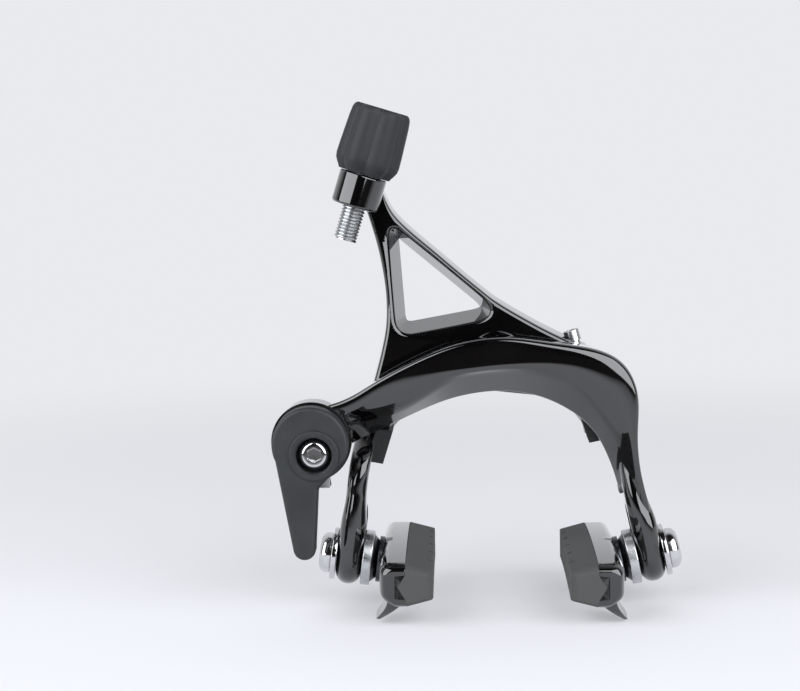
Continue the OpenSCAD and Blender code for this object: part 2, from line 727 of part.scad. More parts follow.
module anchor_nut() {
    color(steel) difference() {
        translate([anchor_at[0], plate_y + 6, anchor_at[1]]) rotate([90, 0, 0]) cylinder(r = 5.2, h = 4.4, $fn = 6);
        along_y(anchor_at, anchor_r + pivot_gap, plate_y, plate_y + 8);
        translate([anchor_at[0] - anchor_r - 0.9, plate_y + 1.6, anchor_at[1] - 8]) cylinder(r = 0.9, h = 16);
    }
}

module cable_end_guide() {
    color(soft_black) slab([anchor_at + [-0.2, -10], anchor_at + [3, -10], anchor_at + [2.6, -7.2], anchor_at + [0.2, -7.2]],
        plate_y + 1.5, plate_y + 3.5);
}

// Adjuster

module adjuster_knob() {
    profile = [[0.15, 0.82], [0.8, 0.85], [2, 0.95], [3.5, 1], [9, 0.97], [13.2, 0.94], [knob_len - 1.4, 0.91],
        [knob_len - 0.5, 0.87], [knob_len, 0.79]];
    points = 72;
    rings = [for (s = profile) [for (j = [0:points - 1])
        let (w = j * 360 / points, wave = knob_flute * (abs(cos(knob_lobes * w / 2)) - 1), r = knob_r * s[1] + wave)
        [r * cos(w), r * sin(w), s[0]]]];
    color(soft_black) at_adjuster() difference() {
        skin([for (i = [len(rings) - 1:-1:0]) rings[i]]);
        translate([0, 0, -over]) cylinder(r = thread_r + pivot_gap, h = 8);
        translate([0, 0, 5.5]) cylinder(r = 4.4 + pivot_gap, h = knob_len);
    }
}

module adjuster_barrel() {
    bottom = -adjuster_boss_len - thread_out;
    cup = 5.6;
    top = knob_len - 0.4;
    color(steel) at_adjuster() difference() {
        union() {
            translate([0, 0, bottom]) cylinder(r = thread_r, h = cup - bottom + over);
            translate([0, 0, cup]) cylinder(r = 4.4, h = top - cup);
        }
        translate([0, 0, bottom - over]) cylinder(r = 1, h = top - bottom + 2 * over);
        translate([0, 0, top - housing_depth]) cylinder(r = housing_r, h = housing_depth + over);
    }
}

mounting_stud();
serrated_washer();
pivot_bracket();
side_bush();
centre_thrust_washer();
side_thrust_washer();
pivot_nut();
return_spring();
rear_arm();
rear_arm_bush();
centring_screw();
left_spring_guide();
front_arm();
side_pivot_bolt();
right_spring_guide();
pad_bolt(-1);  // left_pad_bolt
outer_washer(-1);  // left_outer_washer
inner_washer(-1);  // left_inner_washer
domed_washer(-1);  // left_domed_washer
cupped_washer(-1);  // left_cupped_washer
pad_holder(-1);  // left_pad_holder
brake_pad(-1);  // left_brake_pad
pad_screw(-1);  // left_pad_screw
pad_bolt(1);  // right_pad_bolt
outer_washer(1);  // right_outer_washer
inner_washer(1);  // right_inner_washer
domed_washer(1);  // right_domed_washer
cupped_washer(1);  // right_cupped_washer
pad_holder(1);  // right_pad_holder
brake_pad(1);  // right_brake_pad
pad_screw(1);  // right_pad_screw
quick_release_lever();
eccentric_sleeve();
anchor_bolt();
anchor_plate();
anchor_nut();
cable_end_guide();
adjuster_knob();
adjuster_barrel();
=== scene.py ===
import logging
import math
from collections.abc import Sequence
from dataclasses import dataclass, field
from enum import Enum

import bpy
from mathutils import Matrix, Vector


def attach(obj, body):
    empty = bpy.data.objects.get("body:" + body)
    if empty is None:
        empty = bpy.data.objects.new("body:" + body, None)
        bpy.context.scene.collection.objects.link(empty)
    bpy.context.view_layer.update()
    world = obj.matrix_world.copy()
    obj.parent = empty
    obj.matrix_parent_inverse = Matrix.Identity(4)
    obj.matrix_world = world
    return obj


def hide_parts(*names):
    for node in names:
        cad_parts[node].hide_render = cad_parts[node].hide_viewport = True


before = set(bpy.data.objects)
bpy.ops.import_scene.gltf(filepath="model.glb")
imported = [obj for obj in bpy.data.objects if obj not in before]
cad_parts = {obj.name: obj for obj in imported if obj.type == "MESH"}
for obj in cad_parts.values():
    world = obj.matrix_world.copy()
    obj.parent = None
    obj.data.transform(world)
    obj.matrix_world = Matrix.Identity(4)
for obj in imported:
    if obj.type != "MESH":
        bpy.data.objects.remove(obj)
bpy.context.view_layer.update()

log = logging.getLogger("caliper")

MM = 0.001
Obj = bpy.types.Object
Pair = tuple[float, float]
Loop = list[Vector]

QUARTER = math.pi / 2
MIRROR = Matrix.Scale(-1, 4, Vector((1, 0, 0)))


class Side(Enum):
    """The two feet of the caliper, seen from the front."""

    LEFT = -1
    RIGHT = 1

    @property
    def word(self) -> str:
        """The side's name as the nodes have it."""
        return self.name.lower()


class Grain(Enum):
    """How a surface was made, which sets its pattern's stretch along X, Y and Z."""

    SPRAYED = (1.0, 1.0, 1.0)
    MOULDED = (1.0, 1.0, 1.3)
    TURNED = (1.0, 7.0, 1.0)
    PLATED = (1.0, 1.0, 1.0)
    RUBBED = (1.0, 0.4, 1.0)


def linear(code: str) -> tuple[float, float, float, float]:
    """Turns an sRGB hex colour into linear values.

    Args:
        code: The colour, such as "#1a1b1d".

    Returns:
        Red, green, blue and an alpha of 1.
    """
    parts = [int(code[i:i + 2], 16) / 255 for i in (1, 3, 5)]
    return (*[c / 12.92 if c <= 0.04045 else ((c + 0.055) / 1.055) ** 2.4 for c in parts], 1.0)


def add_node(tree: bpy.types.NodeTree, kind: str, settings: dict | None = None,
             links: dict | None = None) -> bpy.types.Node:
    """Adds one node with its settings and its links.

    Args:
        tree: The node tree.
        kind: The node's type.
        settings: Values of inputs by name or number, or of the node's own properties.
        links: Output sockets by the name or number of the input that they feed.

    Returns:
        The new node.
    """
    node = tree.nodes.new(kind)
    for key, value in (settings or {}).items():
        if isinstance(key, int) or key in node.inputs:
            node.inputs[key].default_value = value
        else:
            setattr(node, key, value)
    for key, socket in (links or {}).items():
        tree.links.new(socket, node.inputs[key])
    return node


@dataclass(frozen=True)
class Finish:
    """One surface finish of the caliper.

    Attributes:
        name: What the material is and how its surface was made.
        colour: Its main sRGB colour.
        worn: The colour of its paler or dustier places.
        rough: Roughness of its smooth places.
        rough_to: Roughness of its dull places.
        metal: 1 for bare metal.
        coat: Weight of a clear coat.
        coat_ior: Index of refraction of the coat.
        grain: How the surface was made.
        grain_mm: Size of the fine pattern.
        relief_mm: Height of the fine pattern.
        patch_mm: Size of the slow changes of colour and gloss.
    """

    name: str
    colour: str
    worn: str
    rough: float
    rough_to: float
    metal: float = 0.0
    coat: float = 0.0
    coat_ior: float = 1.5
    grain: Grain = Grain.SPRAYED
    grain_mm: float = 1.0
    relief_mm: float = 0.01
    patch_mm: float = 9.0

    def material(self) -> bpy.types.Material:
        """Returns the material, which is made once."""
        found = bpy.data.materials.get(self.name)
        if found:
            return found
        made = bpy.data.materials.new(self.name)
        made.use_nodes = True
        tree = made.node_tree
        tree.nodes.clear()
        place = add_node(tree, "ShaderNodeTexCoord").outputs["Object"]
        stretched = add_node(tree, "ShaderNodeMapping", {"Scale": self.grain.value}, {"Vector": place})
        fine = add_node(tree, "ShaderNodeTexNoise", {"Scale": 1 / (self.grain_mm * MM), "Detail": 3.0,
                                                     "Roughness": 0.6}, {"Vector": stretched.outputs[0]})
        slow = add_node(tree, "ShaderNodeTexNoise", {"Scale": 1 / (self.patch_mm * MM), "Detail": 4.0,
                                                     "Roughness": 0.65}, {"Vector": place})
        tint = add_node(tree, "ShaderNodeValToRGB", {}, {"Fac": slow.outputs["Fac"]})
        tint.color_ramp.elements[0].position = 0.42
        tint.color_ramp.elements[0].color = linear(self.colour)
        tint.color_ramp.elements[1].position = 0.78
        tint.color_ramp.elements[1].color = linear(self.worn)
        dull = add_node(tree, "ShaderNodeMapRange", {"From Min": 0.35, "From Max": 0.7, "To Min": self.rough,
                                                     "To Max": self.rough_to}, {"Value": slow.outputs["Fac"]})
        bump = add_node(tree, "ShaderNodeBump", {"Strength": 1.0, "Distance": self.relief_mm * MM},
                        {"Height": fine.outputs["Fac"]})
        shader = add_node(tree, "ShaderNodeBsdfPrincipled", {
            "Metallic": self.metal, "Coat Weight": self.coat, "Coat Roughness": 0.04,
            "Coat IOR": self.coat_ior,
        }, {"Base Color": tint.outputs["Color"], "Roughness": dull.outputs["Result"],
            "Normal": bump.outputs["Normal"]})
        add_node(tree, "ShaderNodeOutputMaterial", {}, {"Surface": shader.outputs[0]})
        return made


# Sprayed gloss enamel on forged aluminium: mirror-like, with a very shallow orange peel
ENAMEL = Finish("gloss_enamel", "#040405", "#080809", 0.06, 0.1, coat=1.0, coat_ior=1.65, grain_mm=1.6,
                relief_mm=0.0012)
# Glass-filled nylon from a spark-eroded mould: an even satin grain
LEVER_NYLON = Finish("moulded_nylon_lever", "#1e2123", "#282b2e", 0.46, 0.58, grain=Grain.MOULDED,
                     grain_mm=0.35, relief_mm=0.03)
# Soft-touch moulded grip, duller and finer than the lever
GRIP = Finish("moulded_grip", "#17191b", "#212426", 0.55, 0.68, grain=Grain.MOULDED, grain_mm=0.3,
              relief_mm=0.02)
# Nylon clip straight from a polished mould
CLIP = Finish("nylon_clip", "#121314", "#1c1d1e", 0.35, 0.5, grain=Grain.MOULDED, grain_mm=0.5,
              relief_mm=0.01)
# Bright nickel-chrome plate on steel bolt heads
CHROME = Finish("chrome_plate", "#d9dadb", "#c2c3c5", 0.07, 0.16, metal=1.0, grain=Grain.PLATED, grain_mm=0.8,
                relief_mm=0.002, patch_mm=3.0)
# Zinc plate on turned steel, with fine turning marks
ZINC = Finish("zinc_plate", "#c3c5c6", "#9fa1a3", 0.22, 0.38, metal=1.0, grain=Grain.TURNED, grain_mm=0.5,
              relief_mm=0.006, patch_mm=3.0)
# Bare turned aluminium alloy, softer in gloss than the steel
ALLOY = Finish("turned_alloy", "#cfd1d3", "#a9abad", 0.25, 0.4, metal=1.0, grain=Grain.TURNED, grain_mm=0.5,
               relief_mm=0.008, patch_mm=4.0)
# Black-oxide steel of the spherical washers, with an oily half gloss
OXIDE = Finish("black_oxide", "#4a4c50", "#5d5f63", 0.24, 0.36, metal=1.0, grain=Grain.TURNED, grain_mm=0.6,
               relief_mm=0.005, patch_mm=4.0)
# Moulded pad rubber: dead matt, grey where the mould's dust sits
RUBBER = Finish("pad_rubber", "#1a1c1e", "#303437", 0.78, 0.92, grain=Grain.RUBBED, grain_mm=0.45,
                relief_mm=0.07, patch_mm=2.2)


def rail(points: Sequence[Sequence[float]], count: int) -> Loop:
    """Returns count + 1 points along the smooth curve through the given points.

    Args:
        points: Points of one, two or three numbers each.
        count: Number of steps along the curve.
    """
    given = [Vector((*p, 0.0, 0.0)[:3]) for p in points]
    last = len(given) - 1
    out = []
    for k in range(count + 1):
        u = last * k / count
        i = min(int(u), last - 1)
        t = u - i
        a, b, c, d = given[max(i - 1, 0)], given[i], given[i + 1], given[min(i + 2, last)]
        out.append(0.5 * (2 * b + (c - a) * t + (2 * a - 5 * b + 4 * c - d) * t * t
                          + (3 * b - a - 3 * c + d) * t ** 3))
    return out


def eased(points: Loop, reach: int) -> Loop:
    """Smooths a rail by averaging each point with its neighbours, and keeps both ends in place."""
    last, out = len(points) - 1, []
    for i in range(last + 1):
        near = min(reach, i, last - i)
        out.append(sum(points[i - near:i + near + 1], Vector()) / (2 * near + 1))
    return out


def flow(values: Sequence[float], count: int) -> list[float]:
    """Returns count + 1 numbers on the smooth curve through the given ones."""
    return [p.x for p in rail([(v,) for v in values], count)]


def arc(radius: float, start: float, end: float, steps: int, centre: Pair = (0.0, 0.0)) -> list[Pair]:
    """Returns the points of an arc, in degrees, round a centre."""
    turns = [math.radians(start + (end - start) * k / steps) for k in range(steps + 1)]
    return [(centre[0] + radius * math.cos(w), centre[1] + radius * math.sin(w)) for w in turns]


def rounded(corners: Sequence[tuple[Vector, float]], steps: int = 5) -> Loop:
    """Rounds the corners of a closed loop.

    Args:
        corners: Each corner with how far from it its rounding starts.
        steps: Number of steps round one corner.

    Returns:
        The loop's points, in order.
    """
    out = []
    for i, (corner, reach) in enumerate(corners):
        before = corners[i - 1][0] - corner
        after = corners[(i + 1) % len(corners)][0] - corner
        reach = min(reach, 0.46 * before.length, 0.46 * after.length)
        a = corner + before.normalized() * reach
        b = corner + after.normalized() * reach
        for k in range(steps + 1):
            t = k / steps
            out.append(a * (1 - t) ** 2 + corner * 2 * t * (1 - t) + b * t * t)
    return out


def inset(points: Sequence[Pair], by: float, fade: int = 0) -> list[Pair]:
    """Moves a closed counter-clockwise outline inwards.

    Args:
        points: The outline.
        by: How far it moves.
        fade: Points over which the move fades out at both ends of each half of the outline.

    Returns:
        The moved outline.
    """
    count, out = len(points), []
    half = count // 2
    for i, here in enumerate(points):
        a = (Vector(here) - Vector(points[i - 1])).normalized()
        b = (Vector(points[(i + 1) % count]) - Vector(here)).normalized()
        normal = Vector((-a.y - b.y, a.x + b.x)).normalized()
        k = i % half
        part = min(1.0, min(k, half - 1 - k) / fade) if fade else 1.0
        out.append(tuple(Vector(here) + normal * by * part))
    return out


class Bench:
    """The modelling operations that the sub-assemblies share, with sizes in millimetres."""

    @staticmethod
    def release() -> None:
        """Leaves edit mode and deselects everything."""
        if bpy.context.object and bpy.context.object.mode != "OBJECT":
            bpy.ops.object.mode_set(mode="OBJECT")
        bpy.ops.object.select_all(action="DESELECT")

    @staticmethod
    def hold(obj: Obj) -> None:
        """Selects one object alone and makes it active."""
        Bench.release()
        obj.select_set(True)
        bpy.context.view_layer.objects.active = obj

    @staticmethod
    def trace(name: str, points: Sequence[Vector]) -> Obj:
        """Draws a chain of edges by extruding one vertex, and stays in edit mode with all selected."""
        Bench.release()
        bpy.ops.mesh.primitive_plane_add(size=0.01)
        obj = bpy.context.object
        obj.name = obj.data.name = name
        bpy.ops.object.mode_set(mode="EDIT")
        bpy.ops.mesh.select_all(action="SELECT")
        bpy.ops.mesh.merge(type="CENTER")
        bpy.ops.transform.translate(value=points[0])
        for a, b in zip(points, points[1:]):
            bpy.ops.mesh.extrude_region_move(TRANSFORM_OT_translate={"value": b - a})
        bpy.ops.mesh.select_all(action="SELECT")
        return obj

    @staticmethod
    def turned(name: str, profile: Sequence[Pair], steps: int = 72) -> Obj:
        """Spins a profile round Z.

        Args:
            name: The piece's name.
            profile: Radius and height of each point, in order.
            steps: Number of faces round.

        Returns:
            The solid, with its axis on Z.
        """
        obj = Bench.trace(name, [Vector((r, 0.0, z)) for r, z in profile])
        bpy.ops.mesh.spin(steps=steps, angle=2 * math.pi, center=(0, 0, 0), axis=(0, 0, 1))
        Bench.close(1e-4)
        return obj

    @staticmethod
    def close(gap: float) -> None:
        """Merges doubles, turns the faces outwards and leaves edit mode."""
        bpy.ops.mesh.select_all(action="SELECT")
        bpy.ops.mesh.remove_doubles(threshold=gap)
        bpy.ops.mesh.normals_make_consistent(inside=False)
        bpy.ops.object.mode_set(mode="OBJECT")

    @staticmethod
    def sawn(name: str, outline: Sequence[Pair], front: float, back: float) -> Obj:
        """Extrudes an outline in X and Z along Y, from front to back."""
        points = [Vector((x, front, z)) for x, z in outline]
        obj = Bench.trace(name, [*points, points[0]])
        bpy.ops.mesh.remove_doubles(threshold=1e-4)
        bpy.ops.mesh.edge_face_add()
        bpy.ops.mesh.extrude_region_move(TRANSFORM_OT_translate={"value": (0, back - front, 0)})
        Bench.close(1e-5)
        return obj

    @staticmethod
    def bar(name: str, radius: float, low: float, high: float, turn: Matrix | None = None) -> Obj:
        """Adds a bar along Z between two heights, then places it."""
        Bench.release()
        bpy.ops.mesh.primitive_cylinder_add(vertices=72, radius=radius, depth=high - low,
                                            location=(0, 0, (low + high) / 2))
        obj = bpy.context.object
        obj.name = obj.data.name = name
        bpy.ops.object.transform_apply(location=True, rotation=True, scale=True)
        if turn:
            obj.data.transform(turn)
        return obj

    @staticmethod
    def lofted(name: str, rings: Sequence[Loop], paired: bool = False) -> Obj:
        """Makes a solid over rings of equal length, whose section changes at every ring.

        Args:
            name: The piece's name.
            rings: The rings, in order.
            paired: Whether each ring runs down one rail and up the other, so that rungs close its ends.

        Returns:
            The closed solid, its faces outwards.
        """
        size = len(rings[0])
        points = [p for ring in rings for p in ring]
        faces = []
        for base in range(0, (len(rings) - 1) * size, size):
            faces += [(base + j, base + (j + 1) % size, base + size + (j + 1) % size, base + size + j)
                      for j in range(size)]
        for base, ring in ((0, rings[0]), ((len(rings) - 1) * size, rings[-1])):
            if paired:
                faces += [(base + j, base + j + 1, base + size - 2 - j, base + size - 1 - j)
                          for j in range(size // 2 - 1)]
            else:
                points.append(sum(ring, Vector()) / size)
                faces += [(base + j, base + (j + 1) % size, len(points) - 1) for j in range(size)]
        mesh = bpy.data.meshes.new(name)
        mesh.from_pydata(points, [], faces)
        obj = bpy.data.objects.new(name, mesh)
        bpy.context.scene.collection.objects.link(obj)
        Bench.hold(obj)
        bpy.ops.object.mode_set(mode="EDIT")
        Bench.close(1e-5)
        return obj

    @staticmethod
    def apply(obj: Obj, kind: str, **settings: object) -> None:
        """Adds one modifier with its settings and applies it."""
        Bench.hold(obj)
        modifier = obj.modifiers.new(kind.lower(), kind)
        for key, value in settings.items():
            setattr(modifier, key, value)
        bpy.ops.object.modifier_apply(modifier=modifier.name)

    @staticmethod
    def combine(obj: Obj, others: Sequence[Obj], operation: str) -> Obj:
        """Fuses other solids with this one, or cuts them out of it, and removes them."""
        for thing in (obj, *others):
            thing.data.update()
            thing.update_tag()
        bpy.context.view_layer.update()
        for other in others:
            Bench.apply(obj, "BOOLEAN", object=other, operation=operation, solver="MANIFOLD")
            bpy.data.objects.remove(other)
        return obj

    @staticmethod
    def soften(obj: Obj, width: float, segments: int = 3, angle: float = 35.0) -> Obj:
        """Bevels the edges that are sharper than an angle."""
        Bench.apply(obj, "BEVEL", width=width, segments=segments, limit_method="ANGLE",
                    angle_limit=math.radians(angle), harden_normals=False)
        return obj

    @staticmethod
    def joined(obj: Obj, others: Sequence[Obj]) -> Obj:
        """Joins other pieces' meshes into this one."""
        Bench.hold(obj)
        for other in others:
            other.select_set(True)
        bpy.ops.object.join()
        return obj

    @staticmethod
    def finish(obj: Obj, finish: Finish, body: str, slot: str, nodes: Sequence[str],
               angle: float = 32.0) -> Obj:
        """Shades, scales, paints and mounts a finished piece.

        Args:
            obj: The piece, in millimetres.
            finish: Its surface.
            body: The body that it moves with.
            slot: Not used.
            nodes: The nodes that it stands for.
            angle: Edges sharper than this stay sharp.

        Returns:
            The piece.
        """
        Bench.hold(obj)
        bpy.ops.object.shade_smooth_by_angle(angle=math.radians(angle))
        Bench.apply(obj, "WEIGHTED_NORMAL", keep_sharp=True)
        obj.data.transform(Matrix.Scale(MM, 4))
        obj.data.materials.clear()
        obj.data.materials.append(finish.material())
        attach(obj, body)
        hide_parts(*nodes)
        log.info("%s: %d faces", obj.name, len(obj.data.polygons))
        return obj


def along_y(x: float, y: float, z: float) -> Matrix:
    """Returns the place whose Z axis points forward along -Y from a point."""
    return Matrix.Translation((x, y, z)) @ Matrix.Rotation(QUARTER, 4, "X")


@dataclass
class Layout:
    """Places that several sub-assemblies share, in millimetres."""

    bracket_front: float = -7.5
    plate_back: float = -8.1
    plate_front: float = -17.6
    arm_front: float = -30.3
    lug_back: float = -23.3
    side_pivot: Pair = (25.0, -6.0)
    disc: Pair = (-44.8, -18.0)
    anchor: Pair = (-43.868, -20.427)
    disc_front: float = -35.8
    disc_back: float = -30.8
    adjuster: tuple[float, float, float] = (-31.65, -19.5, 45.15)
    adjuster_lean: float = 17.3
    foot_x: float = 36.6
    foot_y: float = -20.0
    reach: float = 48.0
    foot_t: float = 6.2
    slot_travel: float = 10.0
    holder_at: float = -8.1

    def lean(self, side: Side) -> float:
        """Outward lean of a foot, in degrees."""
        return 12.0 if side is Side.RIGHT else 8.0

    def foot(self, side: Side) -> Matrix:
        """Returns the frame on a pad bolt: X outwards along the bolt, Z up the foot."""
        right = self.foot_right(side)
        return right if side is Side.RIGHT else MIRROR @ right

    def foot_right(self, side: Side) -> Matrix:
        """Returns the same frame, before the left one is mirrored."""
        turn = Matrix.Rotation(math.radians(-self.lean(side)), 4, "Y")
        return Matrix.Translation((self.foot_x, self.foot_y, -self.reach)) @ turn

    def bolt(self, side: Side) -> Matrix:
        """Returns the frame on a pad bolt whose Z axis points outwards."""
        return self.foot(side) @ Matrix.Rotation(QUARTER, 4, "Y")

    def knob(self) -> Matrix:
        """Returns the frame on the adjuster's axis, whose Z axis points up."""
        return Matrix.Translation(self.adjuster) @ Matrix.Rotation(math.radians(self.adjuster_lean), 4, "Y")

    def place(self, obj: Obj, matrix: Matrix) -> Obj:
        """Moves a mesh to its place, and turns its faces back out if the place mirrors it."""
        obj.data.transform(matrix)
        if matrix.determinant() < 0:
            obj.data.flip_normals()
        return obj


@dataclass
class Feet:
    """The leg and slotted foot at the end of an arm.

    Attributes:
        layout: The shared places.
        width: Size of the foot from front to back.
        edge: Rounding of the front and back.
        slot_r: Half the slot's width.
        room: How far the room for the washers reaches past the flats.
    """

    layout: Layout
    width: float = 14.0
    edge: float = 3.0
    slot_r: float = 3.1
    room: float = 6.0

    def section(self, a: Vector, b: Vector, front: float, back: float, drop: float = 0.0) -> Loop:
        """Returns one section of a leg or foot, with a rounded front and back.

        Args:
            a: Its outer point.
            b: Its inner point.
            front: Y of its front.
            back: Y of its back.
            drop: How far it lies below the pad bolt, where the foot rounds off.
        """
        w, middle = (back - front) / 2, (front + back) / 2
        reach = math.sqrt(max(w * w - drop * drop, 0.04))
        mid, out = (a + b) / 2, (a - b).normalized()
        wide = (a - b).length / 2
        edge = min(self.edge, wide - 0.1)
        half = []
        for j in range(33):
            y = reach * math.sin(math.radians(-90 + 5.625 * j))
            deep = min(edge, max(0.0, w - math.hypot(y, drop)))
            half.append((y, wide - edge + math.sqrt(edge ** 2 - (edge - deep) ** 2)))
        return ([mid + out * x + Vector((0, middle + y, 0)) for y, x in half]
                + [mid - out * x + Vector((0, middle + y, 0)) for y, x in reversed(half)])

    def limb(self, side: Side, outer: Sequence[Pair], inner: Sequence[Pair], front: Sequence[float],
             back: Sequence[float], count: int = 96) -> Obj:
        """Returns a leg and its foot as one solid.

        Args:
            side: The side.
            outer: Sideways place and height of the leg's outer points, taken as on the right.
            inner: The same of its inner points.
            front: Y of its front at these points.
            back: Y of its back at these points.
            count: Number of steps down to the pad bolt.
        """
        lay, half, w = self.layout, self.layout.foot_t / 2, self.width / 2
        place = lay.foot_right(side)
        rails = []
        for points, x in ((outer, half), (inner, -half)):
            end = [place @ Vector((x, 0, z)) for z in (9.0, 3.0, 0.0)]
            rails.append(rail([*points, *[(p.x, p.z) for p in end]], count))
        fronts = flow([*front, *[lay.foot_y - w] * 3], count)
        backs = flow([*back, *[lay.foot_y + w] * 3], count)
        rings = [self.section(Vector((p.x, 0, p.y)), Vector((q.x, 0, q.y)), fronts[i], backs[i])
                 for i, (p, q) in enumerate(zip(*rails))]
        level = Vector((0, lay.foot_y, 0))
        for k in range(1, 17):
            drop = w * math.sin(math.radians(90 * k / 16))
            a, b = (place @ Vector((x, 0, -drop)) - level for x in (half, -half))
            rings.append(self.section(a, b, lay.foot_y - w, lay.foot_y + w, drop))
        limb = Bench.lofted("limb", rings)
        if side is Side.LEFT:
            lay.place(limb, MIRROR)
        return limb

    def cutters(self, side: Side) -> list[Obj]:
        """Returns the slot, and the room over the flats that the washers slide on."""
        lay = self.layout
        half, up, wide = lay.foot_t / 2, lay.slot_travel, self.width / 2 + 1
        slot = [*arc(self.slot_r, 180, 360, 24), *arc(self.slot_r, 0, 180, 24, (0, up))]
        room = [(-wide, -9.0), (wide, -9.0), *arc(wide, 0, 180, 32, (0, up))]
        made = [Bench.sawn("slot", slot, -12, 12), Bench.sawn("room_out", room, half, half + self.room),
                Bench.sawn("room_in", room, -half - self.room, -half)]
        for tool in made:
            tool.data.transform(Matrix.Rotation(-QUARTER, 4, "Z"))
            lay.place(tool, lay.foot(side))
        return made


@dataclass
class FrontArm:
    """The forged arm that sweeps over the tyre from the cable side to the right pad.

    Attributes:
        layout: The shared places.
        feet: The maker of legs and feet.
        outer: Outer edge, in X and Z, from the cable side to the right foot.
        face: Lower edge of the front face.
        edge: Lower edge of the bevel below it.
        under: Edge of the underside.
        edge_in: How far the bevel's lower edge lies behind the face.
        under_in: How far the underside's front edge lies behind the face.
        face_back: How far the face lies behind the arm's front.
        depth: Size from front to back.
        rim: Rounding of the outer edge.
        crease: Rounding of the creases between face, bevel and underside.
        fade_from: Share of the length from which the forging sinks into the leg.
    """

    layout: Layout
    feet: Feet
    outer: Sequence[Pair] = ((-43.5, -9.8), (-36.5, -8), (-28.1, -3), (-20.5, 0.9), (-10.5, 5), (1, 6.7),
                             (12.5, 5.2), (23, 3.6), (30.2, -0.2), (33.5, -8), (33.1, -18), (34.2, -28),
                             (37.2, -38), (38.7, -46))
    face: Sequence[Pair] = ((-42, -12.5), (-35.4, -10.7), (-27.4, -5.2), (-20.2, -3.8), (-10.5, -2),
                            (1, -0.7), (12, -0.5), (20.3, -2.2), (26.5, -5.6), (30.3, -9.6), (31.6, -18),
                            (32.8, -28.4), (35.4, -38.5), (36.6, -46.4))
    edge: Sequence[Pair] = ((-41, -14.4), (-35.6, -13.3), (-27.6, -11.7), (-20, -9), (-10.3, -3.3), (1, -1.8),
                            (11.5, -2.8), (18, -5), (22.3, -8.9), (25.8, -13.6), (29.4, -20), (31.4, -29),
                            (33.6, -39), (34.8, -46.7))
    under: Sequence[Pair] = ((-40, -22.3), (-34.2, -19.2), (-26.3, -15.6), (-19, -12.2), (-10, -8.8),
                             (1, -7.4), (10, -8.9), (17, -12.2), (21.8, -16), (25, -20.5), (27.8, -27),
                             (29.8, -34), (31.6, -40.4), (32.6, -47))
    edge_in: Sequence[float] = (2, 2.2, 2.4, 2.4, 2, 2, 2, 2.2, 2.4, 2.6, 2.6, 2.4, 2.2, 2.2)
    under_in: Sequence[float] = (7, 8.5, 9, 9.4, 9.4, 9.4, 9.4, 9.4, 9.2, 9, 8.6, 7, 5, 4)
    face_back: Sequence[float] = (0.5, 0.2, 0, 0, 0, 0, 0, 0, 0.2, 0.8, 1.8, 2.9, 3.5, 3.6)
    depth: Sequence[float] = (7.2, 9.4, 10, 10, 10, 10, 10.4, 12, 13, 13.8, 14, 14, 14, 14)
    rim: Sequence[float] = (1.2, 1.2, 1.2, 1.3, 1.4, 1.5, 1.8, 2.4, 3, 2.8, 2.2, 2.2, 2.2, 2.2)
    crease: Sequence[float] = (1.6, 1.8, 2.0, 1.8, 1.2, 1.0, 1.2, 1.8, 2.4, 2.4, 2.2, 2.0, 2.0, 2.0)
    leg_outer: Sequence[Pair] = ((32.9, -20), (33.9, -27), (35.6, -33))
    leg_inner: Sequence[Pair] = ((28.8, -22), (29.6, -29), (30.5, -35))
    leg_front: Sequence[float] = (-24.0, -25.5, -26.6)
    leg_back: Sequence[float] = (-16.0, -14.0, -13.2)
    fade_from: float = 0.84
    lug_r: float = 9.6
    lug_long: float = 7.0
    boss_r: float = 6.0
    boss_long: float = 16.2
    sleeve_r: float = 6.45
    nut_room_r: float = 8.8
    side_bolt_r: float = 3.05
    clip_seat: Sequence[Pair] = ((20.4, -15.2), (24.2, -15.4), (26.2, -20.4), (22.4, -21.2))

    def forging(self, count: int = 150) -> Obj:
        """Returns the swept forging with its rounded creases, whose lower end sinks into the leg."""
        a, b, c, d = (eased(rail(r, count), 5) for r in (self.outer, self.face, self.edge, self.under))
        numbers = [flow(v, count) for v in (self.face_back, self.edge_in, self.under_in, self.depth, self.rim,
                                            self.crease)]
        rings = []
        for i in range(count + 1):
            back, edge_in, under_in, depth, rim, crease = (n[i] for n in numbers)
            y = self.layout.arm_front + back
            lip = a[i] + (d[i] - a[i]).normalized() * 0.7
            rings.append(rounded([
                (Vector((d[i].x, y + depth, d[i].y)), 0.5),
                (Vector((d[i].x, y + under_in, d[i].y)), 0.5),
                (Vector((c[i].x, y + edge_in, c[i].y)), 1.6 * crease),
                (Vector((b[i].x, y, b[i].y)), crease),
                (Vector((a[i].x, y, a[i].y)), rim),
                (Vector((lip.x, y + depth, lip.y)), 0.5)], 5))
            fade = max(0.0, (i / count - self.fade_from) / (1 - self.fade_from)) ** 2
            middle = sum(rings[-1], Vector()) / len(rings[-1]) + Vector((0, 1.5 * fade, 0))
            rings[-1] = [middle + (p - middle) * (1 - 0.5 * fade) for p in rings[-1]]
        return Bench.lofted("front_arm_forging", rings)

